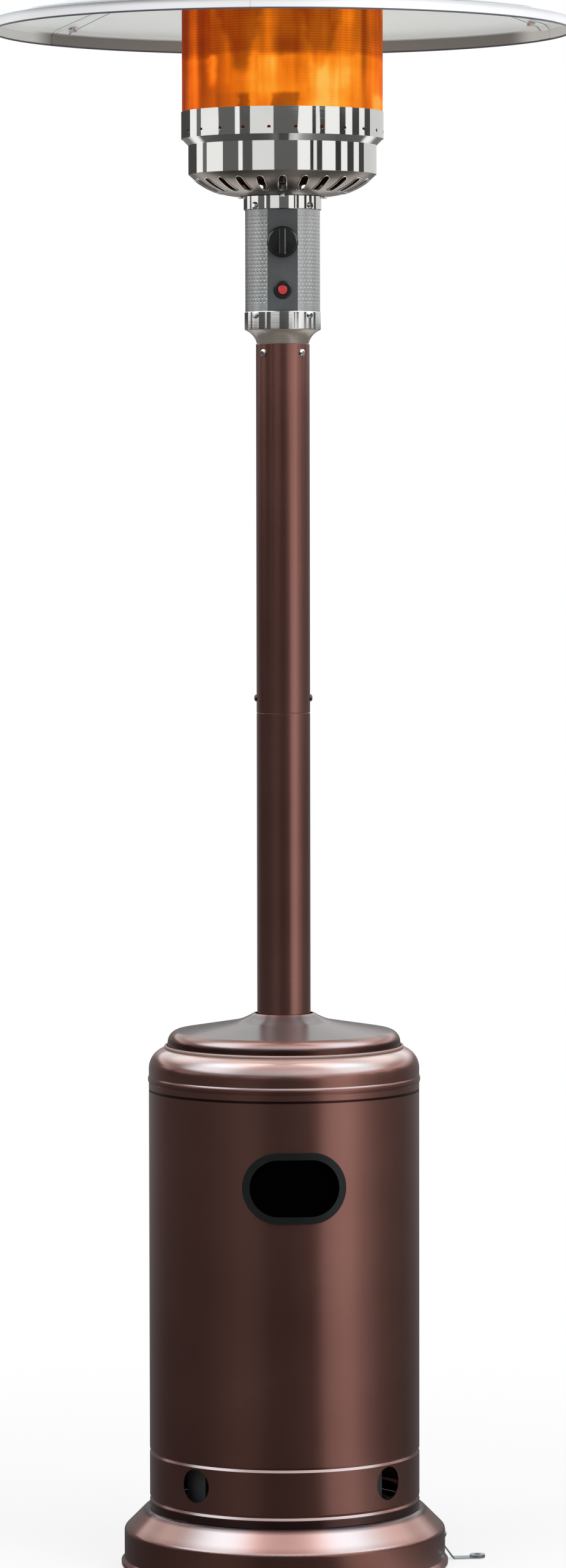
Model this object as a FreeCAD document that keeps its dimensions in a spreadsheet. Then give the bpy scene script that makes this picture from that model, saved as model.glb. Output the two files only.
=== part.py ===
import FreeCAD, Part
import math
import operator
import os
import Sketcher

# Propane patio heater. Origin at the middle of the base on the floor, +Z up, front towards -Y.

# Driving dimensions, in millimetres, degrees and counts
DIMENSIONS = {
    "sheet_wall": 1.2,
    "seat_gap": 0.3,
    "hole_gap": 0.3,
    # Base
    "base_radius": 229.5,
    "base_hem": 4.5,
    "base_ledge": 6.0,
    "base_wall_top": 53.5,
    "base_top": 84.0,
    "base_hem_height": 7.0,
    "base_edge_round": 8.0,
    "base_sheet": 1.6,
    # Ground anchor strap
    "anchor_turn": 8.0,
    "anchor_sheet": 1.6,
    "anchor_width": 20.0,
    "anchor_length": 46.0,
    "anchor_eye_radius": 11.0,
    "anchor_eye_height": 5.0,
    "anchor_hole_radius": 4.5,
    # Wheels
    "axle_radius": 5.0,
    "axle_fit": 0.06,
    "wheel_radius": 48.0,
    "wheel_clearance": 4.0,
    "wheel_tuck": 20.0,
    "wheel_width": 28.0,
    "ear_sheet": 3.0,
    # Legs that carry the post over the cylinder
    "leg_count": 4,
    "leg_turn": 45.0,
    "leg_clearance": 17.0,
    "leg_tab_start": 8.9,
    "leg_sheet": 4.0,
    "leg_width": 36.0,
    "leg_foot": 44.0,
    "leg_tab_height": 56.0,
    "leg_bolt_radius": 4.0,
    # Post
    "post_radius": 38.1,
    "post_sheet": 1.2,
    "post_seat": 3.0,
    "lower_post_length": 535.4,
    "upper_post_length": 522.6,
    "sleeve_half": 60.0,
    "screw_shank_radius": 2.5,
    "screw_head_radius": 5.0,
    "screw_head_height": 3.2,
    # Cylinder housing
    "housing_radius": 193.0,
    "housing_height": 598.0,
    "housing_sheet": 1.0,
    "housing_turn": 4.4,
    "bead_depth": 2.0,
    "bead_half": 3.4,
    "vent_radius": 23.7,
    "handle_length": 126.0,
    "handle_drop": 119.0,
    "handle_opening": 80.0,
    "handle_ring": 10.0,
    "handle_lip": 3.4,
    "handle_depth": 32.0,
    "handle_sheet": 2.0,
    "shoulder_round": 30.0,
    "shoulder_rise": 31.0,
    "lid_setback": 27.0,
    "lid_skirt": 6.5,
    "lid_crown": 11.0,
    "lid_crown_rise": 17.0,
    "lid_slope_radius": 80.0,
    "lid_slope_rise": 12.5,
    "lid_neck_rise": 13.0,
    # Control head
    "neck_depth": 50.0,
    "head_rise": 20.0,
    "low_ring_height": 25.0,
    "panel_height": 144.0,
    "high_ring_height": 19.0,
    "high_ring_lip": 1.0,
    "head_radius": 54.0,
    "panel_width": 41.7,
    "panel_edge": 3.2,
    "knob_rise": 97.0,
    "knob_radius": 22.0,
    "knob_depth": 19.0,
    "knob_push": 4.0,
    "stem_radius": 4.0,
    "button_rise": 30.0,
    "button_radius": 6.4,
    "button_travel": 6.0,
    "bezel_radius": 12.8,
    # Burner
    "bowl_round": 101.6,
    "bowl_slot_count": 24,
    "bowl_slot_width": 11.5,
    "bowl_slot_start": 90.0,
    "cup_radius": 133.2,
    "cup_height": 41.0,
    "collar_overhang": 10.0,
    "collar_height": 38.0,
    "collar_step": 9.0,
    "mixer_radius": 12.0,
    "burner_radius": 70.0,
    "burner_height": 24.0,
    "burner_lift": 30.0,
    "probe_circle": 84.0,
    "emitter_sheet": 0.8,
    "emitter_height": 222.0,
    "emitter_sink": 22.0,
    # Reflector
    "reflector_radius": 410.0,
    "reflector_lift": 25.9,
    "reflector_drop": 119.0,
    "reflector_lip": 16.0,
    "reflector_round": 7.0,
    "reflector_flat_radius": 92.0,
    "reflector_hub_hole": 10.0,
    "reflector_sheet": 0.8,
    "reflector_panels": 3,
    "reflector_turn": 24.0,
    "lap_angle": 4.0,
    "lap_gap": 0.2,
    "stud_radius": 3.0,
    "stud_circle": 60.0,
    "stud_count": 3,
    # Gas supply
    "cylinder_height": 370.0,
    "cylinder_clearance": 16.5,
    "guard_rise": 85.0,
    "cylinder_head": 95.0,
    "cylinder_sheet": 2.5,
    "cylinder_foot_radius": 102.0,
    "cylinder_foot_height": 36.0,
    "guard_radius": 100.0,
    "guard_sheet": 3.0,
    "valve_body_radius": 14.0,
    "handwheel_radius": 27.0,
    "regulator_radius": 34.0,
    "regulator_reach": 54.8,
    "hose_radius": 6.5,
    "hose_bend": 45.0,
}

# Heights and radii that follow from them, up the stack from the floor and out from the axis
RELATIONS = {
    "base_hem_radius": "base_radius + base_hem",
    "base_top_radius": "housing_radius + base_ledge",
    "anchor_top": "base_wall_top - 7.5",
    "anchor_screw_height": "base_wall_top - 17.5",
    "anchor_reach": "base_hem_radius + anchor_length",
    "axle_height": "wheel_radius + wheel_clearance",
    "ear_inside": "base_radius * 0.4096",
    "axle_reach": "base_hem_radius + wheel_radius - wheel_tuck",
    "housing_joint": "base_top + housing_height",
    "low_bead_height": "base_top + 14.7",
    "high_bead_height": "base_top + 82.4",
    "vent_height": "base_top + 53",
    "handle_height": "housing_joint - handle_drop",
    "shoulder_bottom": "housing_joint + shoulder_rise",
    "lid_radius": "housing_radius - lid_setback",
    "lid_hole_radius": "post_radius + 3.2",
    "leg_radius": "housing_radius - leg_clearance",
    "cylinder_radius": "leg_radius - leg_sheet - cylinder_clearance",
    "guard_top": "cylinder_height + guard_rise",
    "post_bottom": "housing_joint + post_seat",
    "leg_bend_height": "post_bottom + leg_tab_start - leg_radius + post_radius + leg_sheet",
    "post_joint": "post_bottom + lower_post_length",
    "post_top": "post_joint + upper_post_length",
    "joint_screw_height": "post_joint + 20.6",
    "neck_screw_height": "post_top - 13",
    "head_bottom": "post_top + head_rise",
    "low_ring_top": "head_bottom + low_ring_height",
    "high_ring_bottom": "low_ring_top + panel_height",
    "high_ring_top": "high_ring_bottom + high_ring_height",
    "high_ring_radius": "head_radius + high_ring_lip",
    "knob_height": "low_ring_top + knob_rise",
    "button_height": "low_ring_top + button_rise",
    "bowl_flat_radius": "high_ring_radius + 5",
    "bowl_radius": "cup_radius - 0.9",
    "bowl_slot_end": "bowl_radius - 7.3",
    "collar_radius": "cup_radius + collar_overhang",
}

document = FreeCAD.newDocument("PatioHeater")
sheet = document.addObject("Spreadsheet::Sheet", "Dims")
cells = {alias: str(amount) for alias, amount in DIMENSIONS.items()}
cells.update({alias: f"={formula}" for alias, formula in RELATIONS.items()})
for row, (alias, content) in enumerate(cells.items(), start=1):
    sheet.set(f"A{row}", alias)
    sheet.set(f"B{row}", content)
    sheet.setAlias(f"B{row}", alias)
document.recompute()


class Size:
    """A number together with the spreadsheet expression that gives it."""

    def __init__(self, number, text):
        self.number = number
        self.text = text

    def __add__(self, other):
        return joined(self, "+", other)

    def __radd__(self, other):
        return joined(other, "+", self)

    def __sub__(self, other):
        return joined(self, "-", other)

    def __rsub__(self, other):
        return joined(other, "-", self)

    def __mul__(self, other):
        return joined(self, "*", other)

    def __rmul__(self, other):
        return joined(other, "*", self)

    def __truediv__(self, other):
        return joined(self, "/", other)

    def __rtruediv__(self, other):
        return joined(other, "/", self)

    def __neg__(self):
        return joined(0, "-", self)


class Dims:
    """Gives each spreadsheet alias as a Size."""

    def __getattr__(self, alias):
        return Size(float(sheet.get(alias)), f"Dims.{alias}")


SIGNS = {"+": operator.add, "-": operator.sub, "*": operator.mul, "/": operator.truediv}
dim = Dims()
nodes = []


def as_size(amount):
    return amount if isinstance(amount, Size) else Size(float(amount), f"({float(amount)!r})")


def joined(left, sign, right):
    left, right = as_size(left), as_size(right)
    return Size(SIGNS[sign](left.number, right.number), f"({left.text} {sign} {right.text})")


def root(amount):
    return Size(math.sqrt(amount.number), f"sqrt({amount.text})")


def cosine(angle):
    return Size(math.cos(math.radians(angle.number)), f"cos({angle.text} * 1 deg)")


def sine(angle):
    return Size(math.sin(math.radians(angle.number)), f"sin({angle.text} * 1 deg)")


def bind(target, path, amount):
    target.setExpression(path, as_size(amount).text)


# Sketch and feature helpers

def new_body(label, several=False):
    body = document.addObject("PartDesign::Body", label)
    body.Label = label
    body.AllowCompound = several
    nodes.append(body)
    return body


def place(body, x=0, y=0, z=0, turn=0, axis=(0, 0, 1)):
    """Puts a sub-part in the frame, turned about its own origin."""
    body.Placement = FreeCAD.Placement(FreeCAD.Vector(0, 0, 0), FreeCAD.Rotation(FreeCAD.Vector(*axis), 1))
    bind(body, "Placement.Base.x", x)
    bind(body, "Placement.Base.y", y)
    bind(body, "Placement.Base.z", z)
    bind(body, "Placement.Rotation.Angle", turn)
    return body


def new_sketch(body, plane, lift=0):
    support = next(item for item in body.Origin.OriginFeatures if item.Role == plane)
    sketch = body.newObject("Sketcher::SketchObject", "Sketch")
    sketch.AttachmentSupport = [(support, "")]
    sketch.MapMode = "FlatFace"
    bind(sketch, "AttachmentOffset.Base.z", lift)
    return sketch


def pin_point(sketch, geometry, end, across, up):
    """Ties one point of a sketch to its two coordinates."""
    for kind, amount, axis in (("DistanceX", as_size(across), -2), ("DistanceY", as_size(up), -1)):
        if abs(amount.number) < 1e-9:
            sketch.addConstraint(Sketcher.Constraint("PointOnObject", geometry, end, axis))
            continue
        ends = (-1, 1, geometry, end) if amount.number > 0 else (geometry, end, -1, 1)
        amount = amount if amount.number > 0 else -amount
        index = sketch.addConstraint(Sketcher.Constraint(kind, *ends, amount.number))
        bind(sketch, f"Constraints[{index}]", amount)


def arc_between(start, end, radius, side):
    """An arc from start to end that bulges left (side 1) or right (side -1), always counterclockwise."""
    chord = end - start
    middle = (start + end) * 0.5
    normal = FreeCAD.Vector(-chord.y, chord.x, 0).normalize() * side
    sagitta = math.sqrt(max(radius ** 2 - (chord.Length / 2) ** 2, 0.0))
    centre = middle - normal * sagitta
    first, second = (end, start) if side > 0 else (start, end)
    angles = [math.atan2(point.y - centre.y, point.x - centre.x) for point in (first, second)]
    if angles[1] < angles[0]:
        angles[1] += 2 * math.pi
    return Part.ArcOfCircle(Part.Circle(centre, FreeCAD.Vector(0, 0, 1), radius), *angles)


def draw_outline(sketch, corners):
    """Closes a chain of corners. A corner with a radius and a side starts an arc to the next one."""
    points = [FreeCAD.Vector(as_size(c[0]).number, as_size(c[1]).number, 0) for c in corners]
    starts, ends = [], []
    first = sketch.GeometryCount
    for index, corner in enumerate(corners):
        start, end = points[index], points[(index + 1) % len(points)]
        if len(corner) == 2:
            sketch.addGeometry(Part.LineSegment(start, end))
            starts.append(1)
            ends.append(2)
            continue
        radius, side = as_size(corner[2]), corner[3]
        sketch.addGeometry(arc_between(start, end, radius.number, side))
        starts.append(2 if side > 0 else 1)
        ends.append(1 if side > 0 else 2)
    for index, corner in enumerate(corners):
        following = (index + 1) % len(corners)
        joint = (first + index, ends[index], first + following, starts[following])
        sketch.addConstraint(Sketcher.Constraint("Coincident", *joint))
        pin_point(sketch, first + index, starts[index], corner[0], corner[1])
        if len(corner) > 2:
            radius = as_size(corner[2])
            number = sketch.addConstraint(Sketcher.Constraint("Radius", first + index, radius.number))
            bind(sketch, f"Constraints[{number}]", radius)
    return sketch


def draw_circle(sketch, across, up, radius):
    centre = FreeCAD.Vector(as_size(across).number, as_size(up).number, 0)
    radius = as_size(radius)
    circle = sketch.addGeometry(Part.Circle(centre, FreeCAD.Vector(0, 0, 1), radius.number))
    pin_point(sketch, circle, 3, across, up)
    number = sketch.addConstraint(Sketcher.Constraint("Radius", circle, radius.number))
    bind(sketch, f"Constraints[{number}]", radius)
    return sketch


def draw_slot(sketch, left, right, up, radius):
    """A slot outline along the sketch's level axis, with round ends centred at left and right."""
    left, right = as_size(left), as_size(right)
    return draw_outline(sketch, [
        (left, up - radius), (right, up - radius, radius, -1), (right + radius, up, radius, -1),
        (right, up + radius), (left, up + radius, radius, -1), (left - radius, up, radius, -1),
    ])


def hexagon(across, up, radius):
    angles = [math.radians(60 * corner) for corner in range(6)]
    return [(across + radius * math.cos(angle), up + radius * math.sin(angle)) for angle in angles]


def extrude(body, kind, sketch, length, reverse=False, symmetric=False):
    feature = body.newObject(kind, "Feature")
    feature.Profile = sketch
    feature.Reversed = reverse
    feature.SideType = "Symmetric" if symmetric else "One side"
    bind(feature, "Length", length)
    sketch.Visibility = False
    return feature


def pad(body, sketch, length, **options):
    return extrude(body, "PartDesign::Pad", sketch, length, **options)


def pocket(body, sketch, length, **options):
    return extrude(body, "PartDesign::Pocket", sketch, length, **options)


def turned(body, corners, axis="V_Axis", angle=360, reverse=False, height=0):
    """Revolves an outline in the XZ plane about the upright axis, or about a level one at a height."""
    sketch = draw_outline(new_sketch(body, "XZ_Plane"), corners)
    bind(sketch, "AttachmentOffset.Base.y", height)
    feature = body.newObject("PartDesign::Revolution", "Feature")
    feature.Profile = sketch
    feature.ReferenceAxis = (sketch, [axis])
    feature.Reversed = reverse
    bind(feature, "Angle", angle)
    return feature


def disc(body, across, up, radius, bottom, height):
    return pad(body, draw_circle(new_sketch(body, "XY_Plane", bottom), across, up, radius), height)


def bore(body, across, up, radius, bottom, height):
    sketch = draw_circle(new_sketch(body, "XY_Plane", bottom), across, up, radius)
    return pocket(body, sketch, height, reverse=True)


def side_bore_at(body, height, turn, radius, length):
    """A round hole from the upright axis out through one side, at a turn from +X."""
    sketch = draw_circle(new_sketch(body, "YZ_Plane"), 0, height, radius)
    upright = FreeCAD.Rotation(FreeCAD.Vector(0, 1, 0), 1)
    sketch.AttachmentOffset = FreeCAD.Placement(FreeCAD.Vector(0, 0, 0), upright)
    bind(sketch, "AttachmentOffset.Rotation.Angle", turn)
    return pocket(body, sketch, length, reverse=True)


def polar(body, features, count):
    pattern = body.newObject("PartDesign::PolarPattern", "Pattern")
    pattern.Originals = features
    axis = next(item for item in body.Origin.OriginFeatures if item.Role == "Z_Axis")
    pattern.Axis = (axis, [""])
    pattern.Angle = 360
    bind(pattern, "Occurrences", count)
    body.Tip = pattern
    return pattern


def rounded(body, radius, places):
    """Fillets the circular edges found at the given radius and height pairs."""
    document.recompute()
    base = body.Tip
    names = []
    for index, edge in enumerate(base.Shape.Edges, start=1):
        if not isinstance(edge.Curve, Part.Circle):
            continue
        for wanted_radius, wanted_height in places:
            near_radius = abs(edge.Curve.Radius - as_size(wanted_radius).number) < 0.01
            near_height = abs(edge.Curve.Center.z - as_size(wanted_height).number) < 0.01
            if near_radius and near_height:
                names.append(f"Edge{index}")
    fillet = body.newObject("PartDesign::Fillet", "Fillet")
    fillet.Base = (base, names)
    bind(fillet, "Radius", radius)
    return fillet


def radial_screws(label, rows, count, turn, grip):
    """Round-headed screws standing out of a round wall, in rows of a seat radius and a height."""
    body = new_body(label, several=True)
    shank = dim.screw_shank_radius
    head = dim.screw_head_radius
    screws = []
    for seat, height in rows:
        top = seat + dim.screw_head_height
        screws.append(turned(body, [
            (seat - grip, 0), (top, 0), (top, head * 0.55), (seat + dim.screw_head_height * 0.45, head),
            (seat, head), (seat, shank), (seat - grip, shank),
        ], axis="H_Axis", height=height))
    polar(body, screws, count)
    place(body, turn=turn)


# Base, anchors and wheels

def base_shell():
    body = new_body("base_shell")
    wall = dim.base_sheet
    inner = dim.base_radius - wall
    slope = wall * 0.414
    turned(body, [
        (0, dim.base_top), (dim.base_top_radius, dim.base_top), (dim.base_radius, dim.base_wall_top),
        (dim.base_radius, dim.base_hem_height + 5), (dim.base_hem_radius, dim.base_hem_height),
        (dim.base_hem_radius, wall), (dim.base_hem_radius - wall, 0), (inner, 0),
        (inner, dim.base_wall_top - slope), (dim.base_top_radius - slope, dim.base_top - wall),
        (0, dim.base_top - wall),
    ])
    hole_radius = dim.leg_bolt_radius + dim.hole_gap
    toward_x, toward_y = cosine(dim.leg_turn), sine(dim.leg_turn)
    holes = [bore(body, reach * toward_x, reach * toward_y, hole_radius, dim.base_top - 2 * wall, 4 * wall)
             for reach in leg_bolt_places()]
    polar(body, holes, dim.leg_count)
    screw_hole_radius = dim.screw_shank_radius + dim.hole_gap
    side_bore_at(body, dim.anchor_screw_height, dim.anchor_turn, screw_hole_radius, dim.base_radius + 9)
    edges = [(dim.base_radius, dim.base_wall_top), (dim.base_top_radius, dim.base_top)]
    rounded(body, dim.base_edge_round, edges)


def leg_bolt_places():
    foot_middle = dim.leg_radius - dim.leg_foot / 2
    return foot_middle - dim.leg_foot / 4, foot_middle + dim.leg_foot / 5


def anchor_strap():
    """A bent strap screwed to the base wall, with a bossed eye on the floor for a ground bolt."""
    body = new_body("anchor_strap")
    wall = dim.anchor_sheet
    inside = anchor_seat() - wall
    clear = dim.base_hem_radius + 10
    bend_height = 2 * dim.base_hem_height + 6
    pad(body, draw_outline(new_sketch(body, "XZ_Plane"), [
        (inside, dim.anchor_top), (inside + wall, dim.anchor_top), (inside + wall, bend_height + wall / 2),
        (clear + wall, wall), (dim.anchor_reach, wall), (dim.anchor_reach, 0), (clear, 0),
        (inside, bend_height),
    ]), dim.anchor_width, symmetric=True)
    disc(body, dim.anchor_reach, 0, dim.anchor_eye_radius, 0, dim.anchor_eye_height)
    bore(body, dim.anchor_reach, 0, dim.anchor_hole_radius, -wall, dim.anchor_eye_height + 2 * wall)
    side_bore_at(body, dim.anchor_screw_height, 0, dim.screw_shank_radius + dim.hole_gap, dim.anchor_reach)
    place(body, turn=dim.anchor_turn)


def anchor_seat():
    """Radius of the strap's outer face against the base wall."""
    return dim.base_radius + dim.lap_gap + dim.anchor_sheet


def wheel_bracket():
    body = new_body("wheel_bracket")
    inside = dim.base_radius + dim.lap_gap
    outside = inside + dim.ear_sheet
    low, high = dim.base_hem_height + 11, dim.base_wall_top - 5
    arc = [(inside, low), (outside, low), (outside, high), (inside, high)]
    turned(body, arc, angle=25)
    turned(body, arc, angle=25, reverse=True)
    ear_start = root(inside * inside - dim.ear_inside * dim.ear_inside) + 0.3
    for lift in (dim.ear_inside, -(dim.ear_inside + dim.ear_sheet)):
        pad(body, draw_outline(new_sketch(body, "XZ_Plane", lift), [
            (ear_start, low), (dim.axle_reach - 18, low), (dim.axle_reach + 16, dim.axle_height - 8),
            (dim.axle_reach + 16, dim.axle_height + 12), (dim.axle_reach - 10, dim.axle_height + 14),
            (ear_start, high),
        ]), dim.ear_sheet)
    across = new_sketch(body, "XZ_Plane")
    hole = draw_circle(across, dim.axle_reach, dim.axle_height, dim.axle_radius + dim.axle_fit)
    pocket(body, hole, 3 * dim.ear_inside, symmetric=True)
    place(body, turn=90)


def wheel_inner_face():
    return dim.ear_inside + dim.ear_sheet + 2


def axle():
    body = new_body("axle")
    reach = 2 * (wheel_inner_face() + dim.wheel_width + 8)
    rod = draw_circle(new_sketch(body, "YZ_Plane"), 0, 0, dim.axle_radius)
    pad(body, rod, reach, symmetric=True)
    place(body, y=dim.axle_reach, z=dim.axle_height)


def axle_caps():
    body = new_body("axle_caps", several=True)
    inner = wheel_inner_face() + dim.wheel_width + 0.5
    socket = dim.axle_radius + dim.axle_fit
    rim = dim.axle_radius + 4
    cap = turned(body, [
        (inner, socket), (inner + 7.7, socket), (inner + 7.7, 0), (inner + 10, 0), (inner + 10, rim - 3),
        (inner + 7, rim), (inner, rim),
    ], axis="H_Axis")
    polar(body, [cap], 2)
    place(body, y=dim.axle_reach, z=dim.axle_height)


def wheel(label, side):
    """A moulded wheel with a hub, a thin web with lightening holes and a ribbed tread."""
    body = new_body(label)
    half = dim.wheel_width / 2
    bore_radius = dim.axle_radius + dim.axle_fit
    hub = dim.axle_radius + 7
    rim = dim.wheel_radius - 9
    turned(body, [
        (bore_radius, -half), (hub, -half), (hub, -3), (rim, -3), (rim, 4 - half), (rim + 4, -half),
        (dim.wheel_radius - 4, -half), (dim.wheel_radius, 4 - half),
        (dim.wheel_radius, half - 4), (dim.wheel_radius - 4, half), (rim + 4, half), (rim, half - 4),
        (rim, 3), (hub, 3), (hub, half), (bore_radius, half),
    ])
    hole = bore(body, (hub + rim) / 2, 0, (rim - hub) / 3, -10, 20)
    polar(body, [hole], 6)
    middle = side * (wheel_inner_face() + half)
    place(body, x=middle, y=dim.axle_reach, z=dim.axle_height, turn=90, axis=(0, 1, 0))


# Legs and post

def support_leg(index):
    body = new_body(f"support_leg_{index + 1}")
    wall = dim.leg_sheet
    outer = dim.leg_radius
    foot = dim.base_top
    post = dim.post_radius
    tab_bottom = dim.leg_bend_height + outer - post - wall
    skew = wall * 0.414
    pad(body, draw_outline(new_sketch(body, "XZ_Plane"), [
        (outer - dim.leg_foot, foot), (outer, foot), (outer, dim.leg_bend_height + skew),
        (post + wall, tab_bottom + skew), (post + wall, tab_bottom + dim.leg_tab_height),
        (post - 4, tab_bottom + dim.leg_tab_height), (post - 4, tab_bottom - 2), (post, tab_bottom - skew),
        (outer - wall, dim.leg_bend_height - skew), (outer - wall, foot + wall),
        (outer - dim.leg_foot, foot + wall),
    ]), dim.leg_width, symmetric=True)
    cradle = draw_circle(new_sketch(body, "XY_Plane", tab_bottom - 60), 0, 0, post + 0.05)
    pocket(body, cradle, 400, reverse=True)
    for across in leg_bolt_places():
        bore(body, across, 0, dim.leg_bolt_radius + dim.hole_gap, foot - wall, 4 * wall)
    for height in leg_tab_bolts():
        side_bore_at(body, height, 0, dim.screw_shank_radius + dim.hole_gap, outer)
    place(body, turn=dim.leg_turn + index * (360 / dim.leg_count))


def leg_tab_bolts():
    tab_bottom = dim.leg_bend_height + dim.leg_radius - dim.post_radius - dim.leg_sheet
    return tab_bottom + dim.leg_tab_height * 0.45, tab_bottom + dim.leg_tab_height * 0.8


def leg_bolts():
    body = new_body("leg_bolts", several=True)
    features = []
    top = dim.base_top + dim.leg_sheet
    under = dim.base_top - dim.base_sheet
    nut = dim.leg_bolt_radius * 1.7
    for across in leg_bolt_places():
        features.append(disc(body, across, 0, dim.leg_bolt_radius, under - 8, 8 + top - under + 1))
        head = draw_outline(new_sketch(body, "XY_Plane", top), hexagon(across, 0, nut))
        features.append(pad(body, head, 5))
        holder = draw_outline(new_sketch(body, "XY_Plane", under - 6), hexagon(across, 0, nut))
        features.append(pad(body, holder, 6))
    polar(body, features, dim.leg_count)
    place(body, turn=dim.leg_turn)


def post_tube(label, bottom, top, holes):
    body = new_body(label)
    bevel = dim.post_sheet / 2
    inner = dim.post_radius - dim.post_sheet
    turned(body, [
        (inner, bottom), (dim.post_radius - bevel, bottom), (dim.post_radius, bottom + bevel),
        (dim.post_radius, top - bevel), (dim.post_radius - bevel, top), (inner, top),
    ])
    for height, count, turn in holes:
        hole = side_bore_at(body, height, turn, dim.screw_shank_radius + dim.hole_gap, 2 * dim.post_radius)
        polar(body, [hole], count)


def post_sleeve():
    body = new_body("post_sleeve")
    outer = dim.post_radius - dim.post_sheet - 0.1
    low, high = dim.post_joint - dim.sleeve_half, dim.post_joint + dim.sleeve_half
    turned(body, [
        (outer - dim.post_sheet, low), (outer, low), (outer, high), (outer - dim.post_sheet, high),
    ])
    shank = dim.screw_shank_radius + dim.hole_gap
    hole = side_bore_at(body, dim.joint_screw_height, 0, shank, dim.post_radius)
    polar(body, [hole], 2)


# Cylinder housing, which lifts along the post

def bead(height, radius):
    """Three corners of a rolled groove in the housing wall, from the bottom up."""
    half = dim.bead_half
    return [(radius, height - half), (radius - dim.bead_depth, height), (radius, height + half)]


def housing_shell():
    body = new_body("housing_shell")
    outer = dim.housing_radius
    inner = outer - dim.housing_sheet
    bottom = dim.base_top + dim.seat_gap
    beads = (dim.low_bead_height, dim.high_bead_height)
    outside = [corner for height in beads for corner in bead(height, outer)]
    inside = [corner for height in beads for corner in bead(height, inner)]
    turned(body, [(outer, bottom), *outside, (outer, dim.housing_joint), (inner, dim.housing_joint),
                  *reversed(inside), (inner, bottom)])
    vent = side_bore_at(body, dim.vent_height, 45, dim.vent_radius, 2 * outer)
    polar(body, [vent], 4)
    grip = dim.handle_ring / 4
    half = (dim.handle_length - dim.handle_opening) / 2
    opening = new_sketch(body, "XZ_Plane")
    draw_slot(opening, -half, half, dim.handle_height, dim.handle_opening / 2 + grip)
    pocket(body, opening, 3 * outer, symmetric=True)
    place(body, turn=dim.housing_turn)


def housing_top():
    body = new_body("housing_top")
    outer = dim.housing_radius
    wall = dim.housing_sheet
    inner = outer - wall
    spigot = inner - dim.seat_gap
    low = dim.housing_joint
    bulge = low + 16
    arc_middle = outer - dim.shoulder_round
    rise = root(dim.shoulder_round * dim.shoulder_round - lid_overhang() * lid_overhang())
    inner_round = dim.shoulder_round - wall
    inner_rise = root(inner_round * inner_round - lid_overhang() * lid_overhang())
    turned(body, [
        (outer - 0.6, low + 0.6), (outer, low + 2.2), (outer, bulge - 5, dim.bead_half * 3, -1),
        (outer, bulge + 5),
        (outer, dim.shoulder_bottom, dim.shoulder_round, -1),
        (arc_middle + lid_overhang(), dim.shoulder_bottom + rise),
        (dim.lid_radius - 18, dim.shoulder_bottom + rise),
        (dim.lid_radius - 18, dim.shoulder_bottom + inner_rise),
        (arc_middle + lid_overhang(), dim.shoulder_bottom + inner_rise, inner_round, 1),
        (inner, dim.shoulder_bottom), (inner, low + 3), (spigot - wall, low + 2), (spigot - wall, low - 18),
        (spigot, low - 18), (spigot, low + 0.6),
    ])
    place(body, turn=dim.housing_turn)


def lid_overhang():
    """How far the shoulder's edge lies outside its arc's centre."""
    return dim.lid_radius + 0.5 - dim.housing_radius + dim.shoulder_round


def lid_seat():
    rise = root(dim.shoulder_round * dim.shoulder_round - lid_overhang() * lid_overhang())
    return dim.shoulder_bottom + rise


def housing_lid():
    body = new_body("housing_lid")
    wall = dim.housing_sheet
    seat = lid_seat()
    edge = seat + dim.lid_skirt
    crown = edge + dim.lid_crown_rise
    crown_radius = dim.lid_radius - dim.lid_crown
    slope_top = crown + dim.lid_slope_rise
    top = slope_top + dim.lid_neck_rise
    hole = dim.lid_hole_radius
    turned(body, [
        (dim.lid_radius, seat), (dim.lid_radius, edge, dim.lid_crown_rise, -1), (crown_radius, crown),
        (dim.lid_slope_radius, slope_top, 90, 1), (hole + 2 * wall, top), (hole, top),
        (hole, top - wall, 90 - wall, -1), (dim.lid_slope_radius, slope_top - wall),
        (crown_radius, crown - wall, dim.lid_crown_rise - wall, 1), (dim.lid_radius - wall, edge),
        (dim.lid_radius - wall, seat),
    ])
    place(body, turn=dim.housing_turn)


def handle_cups():
    """Front and rear hand holds: a rim that follows the housing's curve and a closed cup behind it."""
    grip = (dim.handle_ring / 4).number - 0.4
    skin = dim.housing_radius.number + 0.1
    lip = dim.handle_lip.number
    back = dim.housing_radius.number - dim.handle_depth.number
    height = dim.housing_joint.number
    band = Part.makeCylinder(skin + lip, height).cut(Part.makeCylinder(skin, height))
    rim = stadium(dim.handle_ring.number, back).common(band)
    cup = stadium(grip, back).common(Part.makeCylinder(skin + lip / 2, height))
    front = rim.fuse(cup).cut(stadium(0, back + dim.handle_sheet.number)).removeSplitter()
    rear = front.copy()
    rear.rotate(FreeCAD.Vector(0, 0, 0), FreeCAD.Vector(0, 0, 1), 180)
    feature = document.addObject("Part::Feature", "handle_cups")
    feature.Label = "handle_cups"
    feature.Shape = Part.makeCompound([front.Solids[0], rear.Solids[0]])
    nodes.append(feature)
    place(feature, turn=dim.housing_turn)


def stadium(rim, back):
    """The hand hold's round-ended block, larger by rim all round, from its back plane out past the wall."""
    radius = dim.handle_opening.number / 2 + rim
    half = (dim.handle_length.number - dim.handle_opening.number) / 2
    up = dim.handle_height.number
    left, right = FreeCAD.Vector(-half - radius, -back, up), FreeCAD.Vector(half + radius, -back, up)
    corners = [FreeCAD.Vector(x, -back, z) for x, z in (
        (-half, up - radius), (half, up - radius), (half, up + radius), (-half, up + radius))]
    wire = Part.Wire([
        Part.LineSegment(corners[0], corners[1]).toShape(), Part.Arc(corners[1], right, corners[2]).toShape(),
        Part.LineSegment(corners[2], corners[3]).toShape(), Part.Arc(corners[3], left, corners[0]).toShape(),
    ])
    return Part.Face(wire).extrude(FreeCAD.Vector(0, -dim.housing_radius.number, 0))


# Control head

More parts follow.
